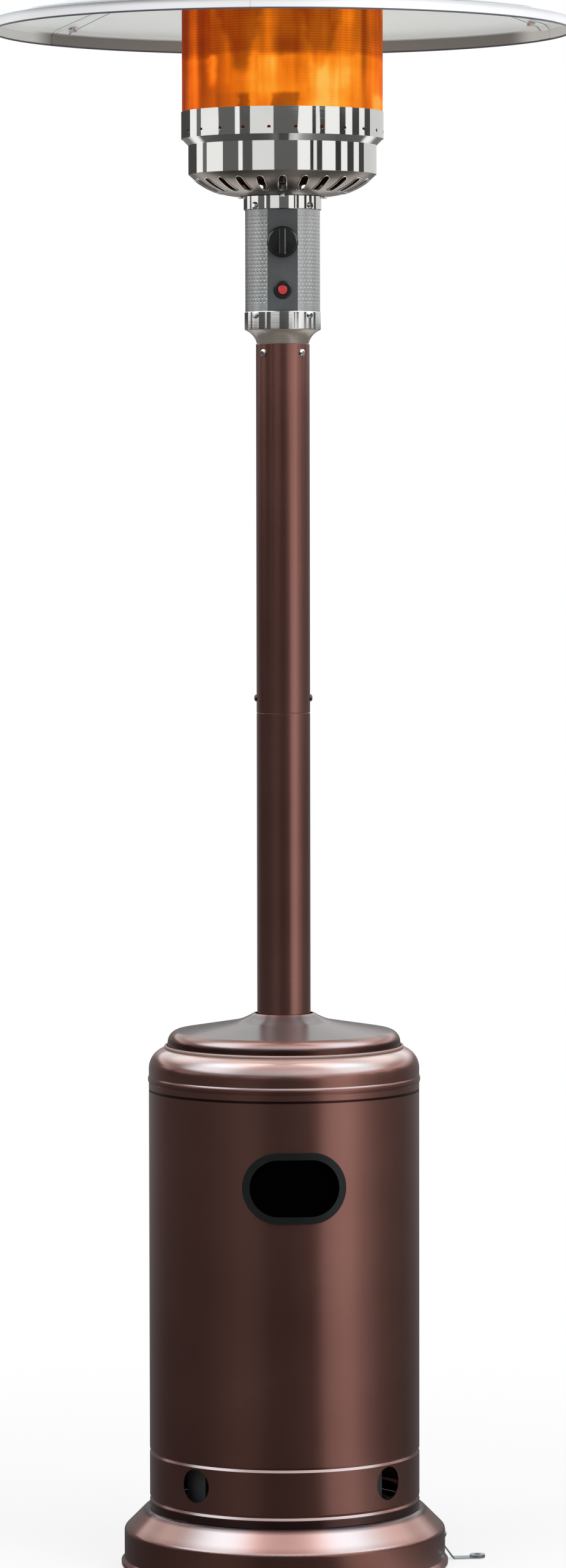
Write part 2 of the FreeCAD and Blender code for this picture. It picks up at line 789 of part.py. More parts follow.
def head_neck():
    body = new_body("head_neck")
    wall = dim.sheet_wall
    neck = dim.post_radius - dim.post_sheet - 0.2
    flange = dim.head_radius - 1 - 0.2
    low, high = dim.post_top - dim.neck_depth, dim.head_bottom
    turned(body, [
        (neck, low), (neck, dim.post_top, 26, 1), (flange, high - 0.6), (flange, high + 9),
        (flange - wall, high + 9),
        (flange - wall, high + 0.4, 26 + wall, -1), (neck - wall, dim.post_top + wall), (neck - wall, low),
    ])
    hole_radius = dim.screw_shank_radius + dim.hole_gap
    hole = side_bore_at(body, dim.neck_screw_height, 45, hole_radius, 2 * dim.post_radius)
    polar(body, [hole], 4)


def head_ring(label, outer, bottom, top, screw_height):
    body = new_body(label)
    inner = outer - 0.9
    turned(body, [
        (inner, bottom), (outer - 0.4, bottom), (outer, bottom + 0.6), (outer, top - 0.6),
        (outer - 0.4, top), (inner, top),
    ])
    hole = side_bore_at(body, screw_height, 45, dim.screw_shank_radius + dim.hole_gap, 2 * outer)
    polar(body, [hole], 4)


def side_panel_radius():
    return dim.head_radius - 1.0


def side_panel(label, side):
    """A rolled side cover whose front edge turns flat beside the control panel."""
    body = new_body(label)
    outer = side_panel_radius()
    wall = dim.sheet_wall
    low, high = dim.low_ring_top - 9, dim.high_ring_bottom + 9
    back = 0.6
    front = dim.panel_width / 2 + 0.3
    reach = root(outer * outer - front * front)
    inner = outer - wall
    inner_reach = root(inner * inner - front * front)
    back_reach = root(outer * outer - back * back)
    inner_back = root(inner * inner - back * back)
    bend = 1 if side > 0 else -1
    sketch = new_sketch(body, "XY_Plane", low)
    draw_outline(sketch, [
        (side * front, -reach, outer, -bend), (side * outer, 0, outer, -bend), (side * back, back_reach),
        (side * back, inner_back, inner, bend), (side * inner, 0, inner, bend), (side * front, -inner_reach),
    ])
    pad(body, sketch, high - low)
    for height in ring_screw_heights():
        for turn in (-45, 45):
            angle = turn if side > 0 else turn + 180
            side_bore_at(body, height, angle, dim.screw_shank_radius + dim.hole_gap, 2 * outer)


def ring_screw_heights():
    low = (dim.head_bottom + dim.low_ring_top) / 2 + 7.5
    high = (dim.high_ring_bottom + dim.high_ring_top) / 2 - 4.5
    return low, high


def control_panel():
    body = new_body("control_panel")
    low, high = dim.low_ring_top + 0.2, dim.high_ring_bottom - 0.2
    half = dim.panel_width / 2
    face = panel_face()
    inner_half = half - dim.sheet_wall
    depth = dim.panel_edge + 5
    sketch = new_sketch(body, "XY_Plane", low)
    draw_outline(sketch, [
        (-half, -face), (half, -face), (half, depth - face), (inner_half, depth - face),
        (inner_half, dim.sheet_wall - face), (-inner_half, dim.sheet_wall - face),
        (-inner_half, depth - face), (-half, depth - face),
    ])
    pad(body, sketch, high - low)
    holes = ((dim.knob_height, dim.stem_radius + 1.5), (dim.button_height, bezel_shank() + 0.2))
    for height, radius in holes:
        pocket(body, draw_circle(new_sketch(body, "XZ_Plane"), 0, height, radius), 2 * face, reverse=True)


def panel_face():
    """How far the control panel's face stands in front of the axis."""
    half = dim.panel_width / 2
    outer = side_panel_radius()
    return root(outer * outer - half * half) + 1.2


def bezel_shank():
    return dim.button_radius + 2.5


def igniter_bezel():
    body = new_body("igniter_bezel")
    hole = dim.button_radius + 0.35
    lip = 2.6
    turned(body, [
        (hole, 0), (hole, 20), (bezel_shank(), 20), (bezel_shank(), lip), (dim.bezel_radius, lip),
        (dim.bezel_radius, 1), (dim.bezel_radius - 1.6, 0),
    ])
    place(body, y=-panel_face() - lip - 0.05, z=dim.button_height, turn=-90, axis=(1, 0, 0))


def igniter_button():
    body = new_body("igniter_button")
    stand = 4.5
    turned(body, [
        (0, -stand), (dim.button_radius - 1.2, -stand), (dim.button_radius, 1.2 - stand),
        (dim.button_radius, 12), (0, 12),
    ])
    place(body, y=-panel_face() - 2.6, z=dim.button_height, turn=-90, axis=(1, 0, 0))


def piezo_igniter():
    body = new_body("piezo_igniter")
    start = 12 + dim.button_travel + 1
    shell = bezel_shank()
    turned(body, [
        (0, start + 4), (dim.button_radius + 0.2, start + 4), (dim.button_radius + 0.2, 17.6 + 0.1),
        (shell, 17.6 + 0.1), (shell, start + 18), (3, start + 21), (0, start + 21),
    ])
    place(body, y=-panel_face(), z=dim.button_height, turn=-90, axis=(1, 0, 0))


def knob_seat():
    """Gap between the knob's back and the panel, which the push takes up."""
    return dim.knob_push + 1.5


def control_knob():
    """A skirted knob with a raised grip bar across its face."""
    body = new_body("control_knob")
    depth = dim.knob_depth
    skirt = depth * 0.35
    radius = dim.knob_radius
    hole = dim.stem_radius + 0.05
    turned(body, [
        (hole, 0), (radius, 0), (radius, skirt * 0.6), (radius - 1.6, skirt), (radius - 3, depth * 0.55),
        (0, depth * 0.62), (0, depth * 0.5), (hole, depth * 0.5),
    ])
    bar = radius * 0.22
    grip = draw_outline(new_sketch(body, "XY_Plane", depth * 0.5), [
        (-bar, -radius * 0.8), (bar, -radius * 0.8), (bar, radius * 0.8), (-bar, radius * 0.8)])
    pad(body, grip, depth * 0.5)
    place(body, y=-panel_face() - knob_seat(), z=dim.knob_height, turn=90, axis=(1, 0, 0))


def knob_stem():
    body = new_body("knob_stem")
    length = dim.knob_depth * 0.45 + knob_seat() + 10
    turned(body, [(0, 0), (dim.stem_radius, 0), (dim.stem_radius, length), (0, length)])
    place(body, y=-panel_face() + 10, z=dim.knob_height, turn=90, axis=(1, 0, 0))


def valve_plunger():
    body = new_body("valve_plunger")
    thick = 3
    turned(body, [(0, 0), (dim.stem_radius + 2, 0), (dim.stem_radius + 2, thick), (0, thick)])
    place(body, y=-panel_face() + 10 + 0.1 + thick, z=dim.knob_height, turn=90, axis=(1, 0, 0))


def gas_valve():
    """The valve block behind the panel, open at the front for the plunger and its travel."""
    body = new_body("gas_valve")
    front = dim.stem_radius + 8
    middle = panel_face() - 9
    length = middle + 12
    pit = 3.2 + dim.knob_push + 5
    turned(body, [
        (dim.stem_radius + 2.4, 0), (front, 0), (front, 18), (front + 3, 18), (front + 3, length),
        (0, length), (0, pit), (dim.stem_radius + 2.4, pit),
    ])
    outlet = draw_circle(new_sketch(body, "XZ_Plane"), 0, middle, 9)
    pad(body, outlet, valve_outlet())
    inlet = draw_circle(new_sketch(body, "XZ_Plane"), 0, middle, 9)
    pad(body, inlet, valve_inlet(), reverse=True)
    place(body, y=-panel_face() + 9, z=dim.knob_height, turn=-90, axis=(1, 0, 0))


def valve_outlet():
    return dim.stem_radius + 20


def valve_inlet():
    return dim.stem_radius + 22


# Burner and emitter

def bowl_height(radius):
    """Height of the bowl's outside at a radius beyond its flat."""
    run = as_size(radius) - dim.bowl_flat_radius
    return dim.high_ring_top + 0.4 + dim.bowl_round - root(dim.bowl_round * dim.bowl_round - run * run)


def burner_bowl():
    body = new_body("burner_bowl")
    wall = dim.sheet_wall
    low = dim.high_ring_top + 0.4
    inner_round = dim.bowl_round - wall
    edge = dim.bowl_radius - wall
    run = edge - dim.bowl_flat_radius
    inner_edge = low + dim.bowl_round - root(inner_round * inner_round - run * run)
    turned(body, [
        (dim.mixer_radius + 1, low), (dim.bowl_flat_radius, low, dim.bowl_round, -1),
        (dim.bowl_radius, bowl_height(dim.bowl_radius)), (dim.bowl_radius, bowl_height(dim.bowl_radius) + 12),
        (edge, bowl_height(dim.bowl_radius) + 12), (edge, inner_edge, inner_round, 1),
        (dim.bowl_flat_radius, low + wall), (dim.mixer_radius + 1, low + wall),
    ])
    half = dim.bowl_slot_width / 2
    sketch = new_sketch(body, "XY_Plane", low - 5)
    draw_slot(sketch, dim.bowl_slot_start + half, dim.bowl_slot_end - half, 0, half)
    slot = pocket(body, sketch, 60, reverse=True)
    polar(body, [slot], dim.bowl_slot_count)


def bowl_screws():
    body = new_body("bowl_screws", several=True)
    low = dim.high_ring_top + 0.4
    head = disc(body, dim.high_ring_radius + 4, 0, 3.4, low - 3.2, 3)
    polar(body, [head], 4)
    place(body)


def cup_bottom():
    return bowl_height(dim.bowl_radius) + 0.3


def burner_cup():
    body = new_body("burner_cup")
    wall = 0.9
    low = cup_bottom()
    step = low + dim.cup_height
    high = step + dim.collar_step
    rim = dim.collar_radius - 1.1
    turned(body, [
        (dim.cup_radius, low), (dim.cup_radius, step), (rim, high), (rim, high + 8), (rim - wall, high + 8),
        (rim - wall, high + 0.3), (dim.cup_radius - wall, step + 0.4), (dim.cup_radius - wall, low),
    ])


def emitter_collar():
    body = new_body("emitter_collar")
    low = cup_bottom() + dim.cup_height + dim.collar_step
    high = low + dim.collar_height
    wall = 0.9
    turned(body, [
        (dim.collar_radius - wall, low), (dim.collar_radius, low), (dim.collar_radius, high),
        (dim.collar_radius - wall, high),
    ])
    vent = side_bore_at(body, low + 9, 7.5, 2.6, 2 * dim.collar_radius)
    polar(body, [vent], dim.bowl_slot_count)


def emitter_bottom():
    return cup_bottom() + dim.cup_height + dim.collar_step + dim.collar_height - dim.emitter_sink


def emitter_radius():
    return dim.collar_radius - 1.1


def emitter_screen():
    body = new_body("emitter_screen")
    low, high = emitter_bottom(), emitter_bottom() + dim.emitter_height
    outer = emitter_radius()
    inner = outer - dim.emitter_sheet
    turned(body, [(inner, low), (outer, low), (outer, high), (inner, high)])


def emitter_cap():
    body = new_body("emitter_cap")
    wall = 1.0
    low = emitter_bottom() + dim.emitter_height - 7
    outer = dim.collar_radius
    inner = outer - wall
    top = low + 8.2
    turned(body, [
        (inner, low), (outer, low), (outer, top + wall - 1.5), (outer - 1.5, top + wall), (70, top + wall),
        (66, top + wall + 3), (0, top + wall + 3), (0, top + 3), (66.5, top + 3), (70.5, top), (inner, top),
    ])
    hole = bore(body, dim.stud_circle, 0, dim.stud_radius + dim.hole_gap, low, 30)
    polar(body, [hole], dim.stud_count)
    place(body, turn=dim.reflector_turn + 60)


def cap_top():
    return emitter_bottom() + dim.emitter_height - 7 + 8.2 + 1.0 + 3


def burner_mixer():
    """The upright gas tube that carries the burner above the valve."""
    body = new_body("burner_mixer")
    low = dim.knob_height + valve_outlet() + 0.1
    high = dim.high_ring_top + dim.burner_lift
    radius = dim.mixer_radius
    turned(body, [
        (radius - 7, low), (radius - 3, low), (radius - 3, low + 12), (radius, low + 18), (radius, high),
        (radius - 1.5, high), (radius - 1.5, low + 19), (radius - 7, low + 10),
    ])


def burner_head():
    """A drum burner with a ring of flame ports."""
    body = new_body("burner_head")
    low = dim.high_ring_top + dim.burner_lift
    high = low + dim.burner_height
    radius = dim.burner_radius
    wall = 1.5
    neck = dim.mixer_radius + 0.1
    turned(body, [
        (neck, low - 10), (neck + wall, low - 10), (neck + wall, low + 4), (radius - 8, low + 8),
        (radius, low + 12),
        (radius, high), (0, high), (0, high - wall), (radius - wall, high - wall), (radius - wall, low + 13),
        (radius - 9, low + 8 + wall), (neck, low + 4 + wall),
    ])
    port = side_bore_at(body, high - 6, 0, 1.8, 2 * radius)
    polar(body, [port], 12)


def upright_rod(label, turn, radius, top, tip_radius):
    """A probe beside the burner: a clamp collar on the bowl's floor, a rod and a tip."""
    body = new_body(label)
    collar = radius + 2.5
    bottom = bowl_height(dim.probe_circle + collar) + dim.sheet_wall + 0.2
    turned(body, [
        (0, bottom), (collar, bottom), (collar, bottom + 6), (radius, bottom + 8), (radius, top - 14),
        (tip_radius, top - 12), (tip_radius, top - 1), (tip_radius - 1, top), (0, top),
    ])
    place(body, x=dim.probe_circle * cosine(as_size(turn)), y=dim.probe_circle * sine(as_size(turn)))


# Reflector

def reflector_top():
    """Height of the dish's flat middle, carried on the studs above the emitter's cap."""
    return cap_top() + dim.reflector_lift


def reflector_rim():
    """Height of the lip's lower edge."""
    return reflector_top() - dim.reflector_drop


def dish(radius, drop, wall):
    """Corners of the reflector's section from hub to lip, lowered by drop."""
    top = reflector_top() - drop
    shoulder = reflector_rim() + dim.reflector_lip + dim.reflector_round - drop
    corner = shoulder - dim.reflector_round
    side = radius - wall
    return [
        (dim.reflector_hub_hole, top), (dim.reflector_flat_radius, top),
        (radius - dim.reflector_round, shoulder), (radius, corner), (radius, reflector_rim()),
        (side, reflector_rim()), (side, corner - wall / 2),
        (radius - dim.reflector_round, shoulder - wall * 1.06),
        (dim.reflector_flat_radius, top - wall), (dim.reflector_hub_hole, top - wall),
    ]


def reflector_panel(index):
    """One lapped sector of the dish, with a joggled strip that runs under the next sector."""
    body = new_body(f"reflector_panel_{index + 1}")
    wall = dim.reflector_sheet
    step = wall + dim.lap_gap
    share = 360 / dim.reflector_panels
    turned(body, dish(dim.reflector_radius, 0, wall), angle=share - 0.05)
    turned(body, dish(dim.reflector_radius, 0, wall + step), angle=1.0)
    turned(body, dish(dim.reflector_radius - step, step, wall), angle=dim.lap_angle, reverse=True)
    stud = dim.stud_radius + dim.hole_gap
    middle = share / 2
    across, up = dim.stud_circle * cosine(middle), dim.stud_circle * sine(middle)
    bore(body, across, up, stud, reflector_top() - 9, 18)
    for radius in seam_bolt_radii():
        for angle in (-dim.lap_angle / 2, share - dim.lap_angle / 2):
            bore(body, radius * cosine(angle), radius * sine(angle), dim.stud_radius + dim.hole_gap,
                 reflector_rim(), dim.reflector_drop + 21)
    place(body, turn=dim.reflector_turn + index * share)


def seam_bolt_radii():
    return dim.reflector_radius * 0.5, dim.reflector_radius - 24


def dish_height(radius):
    """Height of the dish's top face at a radius between its flat and its lip."""
    shoulder = reflector_rim() + dim.reflector_lip + dim.reflector_round
    run = dim.reflector_radius - dim.reflector_round - dim.reflector_flat_radius
    part = (dim.reflector_radius - dim.reflector_round - radius) / run
    return shoulder + (reflector_top() - shoulder) * part


def seam_bolts():
    """Bolts through each lapped seam, head below and thread standing up above the dish."""
    body = new_body("seam_bolts", several=True)
    head_gap = 2 * (dim.reflector_sheet + dim.lap_gap) + seam_slant()
    features = []
    for radius in seam_bolt_radii():
        under = dish_height(radius) - head_gap
        features.append(disc(body, radius, 0, dim.stud_radius, under - 1, head_gap + 13))
        features.append(disc(body, radius, 0, dim.stud_radius * 2, under - 4, 4))
    polar(body, features, dim.reflector_panels)
    place(body, turn=dim.reflector_turn - dim.lap_angle / 2)


def seam_nuts():
    body = new_body("seam_nuts", several=True)
    features = []
    for radius in seam_bolt_radii():
        seat = dish_height(radius) + seam_slant()
        flats = draw_outline(new_sketch(body, "XY_Plane", seat), hexagon(radius, 0, dim.stud_radius * 2))
        features.append(pad(body, flats, 5))
        features.append(bore(body, radius, 0, dim.stud_radius + 0.05, seat - 5, 15))
    polar(body, features, dim.reflector_panels)
    place(body, turn=dim.reflector_turn - dim.lap_angle / 2)


def seam_slant():
    """Rise of the sloping dish across the radius of a nut."""
    return dim.stud_radius * 2 * 0.34


def reflector_studs():
    body = new_body("reflector_studs", several=True)
    low = cap_top() - 5
    rod = disc(body, dim.stud_circle, 0, dim.stud_radius, low, reflector_top() + 17 - low)
    under_nut = disc(body, dim.stud_circle, 0, dim.stud_radius * 2, cap_top(), 4)
    spacer = disc(body, dim.stud_circle, 0, dim.stud_radius * 2, reflector_top() - 8, 7)
    polar(body, [rod, under_nut, spacer], dim.stud_count)
    place(body, turn=dim.reflector_turn + 60)


def wing_nuts():
    body = new_body("wing_nuts", several=True)
    hub = dim.stud_radius * 2
    low = reflector_top() + 0.1
    core = disc(body, dim.stud_circle, 0, hub, low, 8)
    wings = draw_outline(new_sketch(body, "XZ_Plane"), [
        (dim.stud_circle - 15, low + 9), (dim.stud_circle - 5, low + 1), (dim.stud_circle + 5, low + 1),
        (dim.stud_circle + 15, low + 9), (dim.stud_circle + 14, low + 15), (dim.stud_circle + 7, low + 13),
        (dim.stud_circle + 4, low + 7), (dim.stud_circle - 4, low + 7), (dim.stud_circle - 7, low + 13),
        (dim.stud_circle - 14, low + 15),
    ])
    wing = pad(body, wings, 3, symmetric=True)
    hole = bore(body, dim.stud_circle, 0, dim.stud_radius + 0.05, low - 5, 40)
    polar(body, [core, wing, hole], dim.stud_count)
    place(body, turn=dim.reflector_turn + 60)


# Gas supply

def gas_cylinder():
    """Steel cylinder with domed ends, a foot ring and a three-post valve guard."""
    body = new_body("gas_cylinder")
    seat = dim.base_top
    foot = dim.cylinder_foot_radius
    wide = dim.cylinder_radius
    head = dim.cylinder_head
    skin = dim.cylinder_sheet
    floor = seat + 14
    top = seat + dim.cylinder_height
    neck = dim.valve_body_radius + 8
    flat = foot - 30
    crown = (wide * wide + head * head) / (2 * head)
    turned(body, [
        (0, floor), (flat, floor, crown * 0.75, -1), (wide, floor + head), (wide, top - head, crown, -1),
        (neck, top),
        (neck, top + 8), (0, top + 8), (0, top - skin), (neck, top - skin, crown - skin, 1),
        (wide - skin, top - head), (wide - skin, floor + head, crown * 0.75 - skin, 1), (flat, floor + skin),
        (0, floor + skin),
    ])
    ring = [(foot - 3, seat), (foot, seat), (foot, seat + 14 + dim.cylinder_foot_height),
            (foot - 3, seat + 14 + dim.cylinder_foot_height)]
    turned(body, ring)
    guard = dim.guard_radius
    guard_low = top - 50
    turned(body, [(guard - dim.guard_sheet, guard_low), (guard, guard_low), (guard, seat + dim.guard_top),
                  (guard - dim.guard_sheet, seat + dim.guard_top)])
    window = new_sketch(body, "YZ_Plane")
    draw_outline(window, [
        (-48, top + 2), (48, top + 2), (48, seat + dim.guard_top - 18), (-48, seat + dim.guard_top - 18)])
    opening = pocket(body, window, 2 * guard, reverse=True)
    polar(body, [opening], 3)
    place(body, turn=-90)


def cylinder_top():
    return dim.base_top + dim.cylinder_height + 8


def cylinder_valve():
    body = new_body("cylinder_valve")
    low = cylinder_top()
    wide = dim.valve_body_radius
    spindle_top = low + 46
    turned(body, [
        (0, low), (wide, low), (wide, low + 30), (wide - 5, low + 34), (wide - 5, low + 40), (5, low + 40),
        (5, spindle_top), (0, spindle_top),
    ])
    outlet = draw_circle(new_sketch(body, "XZ_Plane"), 0, low + 17, 12)
    pad(body, outlet, 32)


def handwheel():
    """Scalloped cylinder handwheel on the valve's spindle."""
    body = new_body("handwheel")
    low = cylinder_top() + 40.4
    wide = dim.handwheel_radius
    turned(body, [
        (5 + dim.axle_fit, low), (12, low), (12, low + 4), (wide - 3, low + 4), (wide, low + 6),
        (wide, low + 13),
        (wide - 3, low + 15), (0, low + 15), (0, low + 6.4), (5 + dim.axle_fit, low + 6.4),
    ])
    scallop = bore(body, wide + 3, 0, 7, low - 2, 30)
    polar(body, [scallop], 6)


def regulator_middle():
    return cylinder_top() + 17


def regulator_outlet():
    """Distance of the regulator's drum and hose outlet from the axis, towards the front."""
    return -(32.2 + dim.regulator_reach - 12)


def regulator():
    body = new_body("regulator")
    reach = dim.regulator_reach
    wide = dim.regulator_radius
    turned(body, [
        (0, 0), (15, 0), (15, 24), (9, 24), (9, reach - 31), (0, reach - 31),
    ])
    drum = draw_circle(new_sketch(body, "XZ_Plane"), 0, reach - 12, wide * 0.62)
    pad(body, drum, 34, symmetric=True)
    cap = draw_circle(new_sketch(body, "XZ_Plane"), 0, reach - 12, wide * 0.7)
    pad(body, cap, 5, symmetric=True)
    place(body, y=-32.2, z=regulator_middle(), turn=90, axis=(1, 0, 0))


def gas_hose():
    """Hose from the regulator's outlet, between the legs and up through the post to the gas valve."""
    bend = dim.hose_bend.number
    start_y = regulator_outlet().number
    start_z = regulator_middle().number + 17.2
    end_z = (dim.knob_height - valve_inlet()).number - 0.2
    across = bend * (1 - math.cos(math.radians(45)))
    rise = bend * math.sin(math.radians(45))
    slant = -start_y - 2 * across
    low = max(dim.post_bottom.number - 5 - 2 * rise - slant, start_z + 5)
    high = low + 2 * rise + slant
    points = [FreeCAD.Vector(0, y, z) for y, z in (
        (start_y, start_z), (start_y, low), (start_y + across, low + rise), (-across, high - rise),
        (0, high), (0, end_z))]
    half_across = bend * (1 - math.cos(math.radians(22.5)))
    half_rise = bend * math.sin(math.radians(22.5))
    middle_low = FreeCAD.Vector(0, start_y + half_across, low + half_rise)
    middle_high = FreeCAD.Vector(0, -half_across, high - half_rise)
    wire = Part.Wire([
        Part.LineSegment(points[0], points[1]).toShape(),
        Part.Arc(points[1], middle_low, points[2]).toShape(),
        Part.LineSegment(points[2], points[3]).toShape(),
        Part.Arc(points[3], middle_high, points[4]).toShape(),
        Part.LineSegment(points[4], points[5]).toShape(),
    ])
    radius = dim.hose_radius.number
    section = Part.Wire([Part.makeCircle(radius, points[0], FreeCAD.Vector(0, 0, 1))])
    hose = wire.makePipeShell([section], True, False)
    print("gas_hose length", round(wire.Length, 1), "volume ratio",
          round(hose.Volume / (math.pi * radius ** 2 * wire.Length), 4))
    feature = document.addObject("Part::Feature", "gas_hose")
    feature.Label = "gas_hose"
    feature.Shape = hose
    nodes.append(feature)


# The whole heater

def build_stand():
    base_shell()
    anchor_strap()
    radial_screws("anchor_screw", [(anchor_seat(), dim.anchor_screw_height)], 1, dim.anchor_turn, 8)
    wheel_bracket()
    axle()
    axle_caps()
    wheel("wheel_left", -1)
    wheel("wheel_right", 1)
    for index in range(DIMENSIONS["leg_count"]):
        support_leg(index)
    leg_bolts()
    leg_holes = [(height, dim.leg_count, dim.leg_turn) for height in leg_tab_bolts()]
    post_tube("lower_post", dim.post_bottom, dim.post_joint - 0.1, leg_holes)
    leg_rows = [(dim.post_radius + dim.leg_sheet, height) for height in leg_tab_bolts()]
    radial_screws("post_screws", leg_rows, dim.leg_count, dim.leg_turn, 10)
    upper_holes = [(dim.joint_screw_height, 2, as_size(0)), (dim.neck_screw_height, 4, as_size(45))]
    post_tube("upper_post", dim.post_joint + 0.1, dim.post_top, upper_holes)
    post_sleeve()
    radial_screws("joint_screws", [(dim.post_radius, dim.joint_screw_height)], 2, 0, 7)
    radial_screws("neck_screws", [(dim.post_radius, dim.neck_screw_height)], 4, 45, 7)


def build_housing():
    housing_shell()
    housing_top()
    housing_lid()
    handle_cups()


def build_head():
    head_neck()
    low_screws, high_screws = ring_screw_heights()
    head_ring("lower_ring", dim.head_radius, dim.head_bottom, dim.low_ring_top, low_screws)
    head_ring("upper_ring", dim.high_ring_radius, dim.high_ring_bottom, dim.high_ring_top, high_screws)
    rows = [(dim.head_radius, low_screws), (dim.high_ring_radius, high_screws)]
    radial_screws("ring_screws", rows, 4, 45, 6)
    side_panel("left_panel", -1)
    side_panel("right_panel", 1)
    control_panel()
    igniter_bezel()
    igniter_button()
    piezo_igniter()
    control_knob()
    knob_stem()
    valve_plunger()
    gas_valve()


def build_burner():
    burner_bowl()
    bowl_screws()
    burner_cup()
    emitter_collar()
    emitter_screen()
    emitter_cap()
    burner_mixer()
    burner_head()
    flame = dim.high_ring_top + dim.burner_lift + dim.burner_height
    upright_rod("pilot_burner", -90, 4, flame + 14, 7)
    upright_rod("thermocouple", -75, 2.4, flame + 22, 1.8)
    upright_rod("igniter_electrode", -105, 3, flame + 18, 1.6)


def build_reflector():
    reflector_studs()
    for index in range(DIMENSIONS["reflector_panels"]):
        reflector_panel(index)
    wing_nuts()
    seam_bolts()
    seam_nuts()


def build_gas():
    gas_cylinder()
    cylinder_valve()
    handwheel()
    regulator()
    gas_hose()


for build in (build_stand, build_housing, build_head, build_burner, build_reflector, build_gas):
    build()
document.recompute()

faults = []
for node in nodes:
    members = [node] + list(getattr(node, "Group", []))
    states = [item.Name for item in members if "Invalid" in item.State or "Error" in item.State]
    if states or node.Shape.isNull() or not node.Shape.isValid():
        faults.append(f"{node.Label} {states}")
if faults:
    raise RuntimeError("Not built: " + ", ".join(faults))

os.makedirs("parts", exist_ok=True)
for node in nodes:
    node.Shape.exportStep(f"parts/{node.Label}.step")
print("nodes", len(nodes), "solids", sum(len(node.Shape.Solids) for node in nodes))
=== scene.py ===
import math

import bmesh
import bpy
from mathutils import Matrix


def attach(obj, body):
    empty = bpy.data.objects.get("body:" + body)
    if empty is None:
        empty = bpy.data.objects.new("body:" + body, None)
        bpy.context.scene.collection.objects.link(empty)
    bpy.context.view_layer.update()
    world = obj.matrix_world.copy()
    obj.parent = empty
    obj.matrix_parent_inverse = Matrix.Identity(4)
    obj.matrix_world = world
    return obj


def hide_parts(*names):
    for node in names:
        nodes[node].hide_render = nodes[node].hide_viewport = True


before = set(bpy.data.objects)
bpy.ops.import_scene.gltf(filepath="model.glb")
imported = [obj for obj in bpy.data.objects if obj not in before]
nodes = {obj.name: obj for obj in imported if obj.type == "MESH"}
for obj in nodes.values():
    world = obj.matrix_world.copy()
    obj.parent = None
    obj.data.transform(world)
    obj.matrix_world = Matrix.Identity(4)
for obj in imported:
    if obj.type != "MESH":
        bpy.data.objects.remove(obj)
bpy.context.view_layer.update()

# The frame's own plain materials, which the hose and the bead round the lid keep
plain_rubber = nodes["gas_hose"].data.materials[0]
plain_paint = nodes["housing_lid"].data.materials[0]


# Places of the solids that the finishes and the added pieces follow, at rest and in metres

def span(name, axis):
    """Lowest and highest place of a solid along an axis."""
    places = [corner["xyz".index(axis)] for corner in nodes[name].bound_box]
    return min(places), max(places)


base_radius = span("base_shell", "x")[1]
base_top = span("base_shell", "z")[1]
shell_radius = span("housing_shell", "y")[1]
shell_top = span("housing_shell", "z")[1]
lid_radius = span("housing_lid", "x")[1]
lid_foot = span("housing_lid", "z")[0]
post_radius = span("upper_post", "x")[1]
panel_radius = span("right_panel", "x")[1]
panel_bottom, panel_top = span("right_panel", "z")
knob_face = span("control_knob", "y")[0]
bowl_radius = span("burner_bowl", "x")[1]
bowl_bottom = span("burner_bowl", "z")[0]
collar_radius = span("emitter_collar", "x")[1]
collar_top = span("emitter_collar", "z")[1]
screen_radius = span("emitter_screen", "x")[1]
rim_radius = max(span(f"reflector_panel_{number}", "x")[1] for number in (1, 2, 3))
rim_height = span("reflector_panel_1", "z")[0]
wheel_back = sum(span("wheel_left", "y")) / 2
wheel_height = sum(span("wheel_left", "z")) / 2
wheel_radius = wheel_height - span("wheel_left", "z")[0]
cylinder_foot = span("gas_cylinder", "z")[0]
hose_route = [(0, -0.075, 0.4962), (0, -0.075, 0.5863), (0, 0, 0.6614), (0, 0, 0.7674), (0, 0, 1.8588)]


# Shader values

class Reading:
    """One shader value. Python operators on it add Math nodes."""

    def __init__(self, finish, socket):
        self.finish = finish
        self.socket = socket

    def joined(self, operation, first, second=0.0):
        inputs = {"Value": first, "Value_001": second}
        made = self.finish.node("ShaderNodeMath", {"operation": operation}, inputs)
        return Reading(self.finish, made.outputs["Value"])

    def __add__(self, other):
        return self.joined("ADD", self, other)

    def __radd__(self, other):
        return self.joined("ADD", other, self)

    def __sub__(self, other):
        return self.joined("SUBTRACT", self, other)

    def __rsub__(self, other):
        return self.joined("SUBTRACT", other, self)

    def __mul__(self, other):
        return self.joined("MULTIPLY", self, other)

    def __rmul__(self, other):
        return self.joined("MULTIPLY", other, self)

    def __truediv__(self, other):
        return self.joined("DIVIDE", self, other)

    def __rtruediv__(self, other):
        return self.joined("DIVIDE", other, self)

    def __pow__(self, other):
        return self.joined("POWER", self, other)

    def __mod__(self, other):
        return self.joined("FLOORED_MODULO", self, other)

    def __gt__(self, other):
        return self.joined("GREATER_THAN", self, other)

    def __abs__(self):
        return self.joined("ABSOLUTE", self)

    def sine(self):
        return self.joined("SINE", self)

    def angle_with(self, other):
        return self.joined("ARCTAN2", self, other)

    def largest(self, other):
        return self.joined("MAXIMUM", self, other)

    def smallest(self, other):
        return self.joined("MINIMUM", self, other)

    def eased(self, low, high, start=0.0, end=1.0):
        """Goes smoothly from start to end while this value goes from low to high."""
        made = self.finish.node(
            "ShaderNodeMapRange", {"interpolation_type": "SMOOTHSTEP"},
            {"Value": self, "From Min": low, "From Max": high, "To Min": start, "To Max": end})
        return Reading(self.finish, made.outputs["Result"])

    def fading(self, low, high):
        """Goes smoothly from 1 to 0 while this value goes from low to high."""
        return self.eased(low, high, 1.0, 0.0)

    def near(self, place, inner, outer):
        """1 within inner of a place, and 0 beyond outer."""
        return abs(self - place).fading(inner, outer)


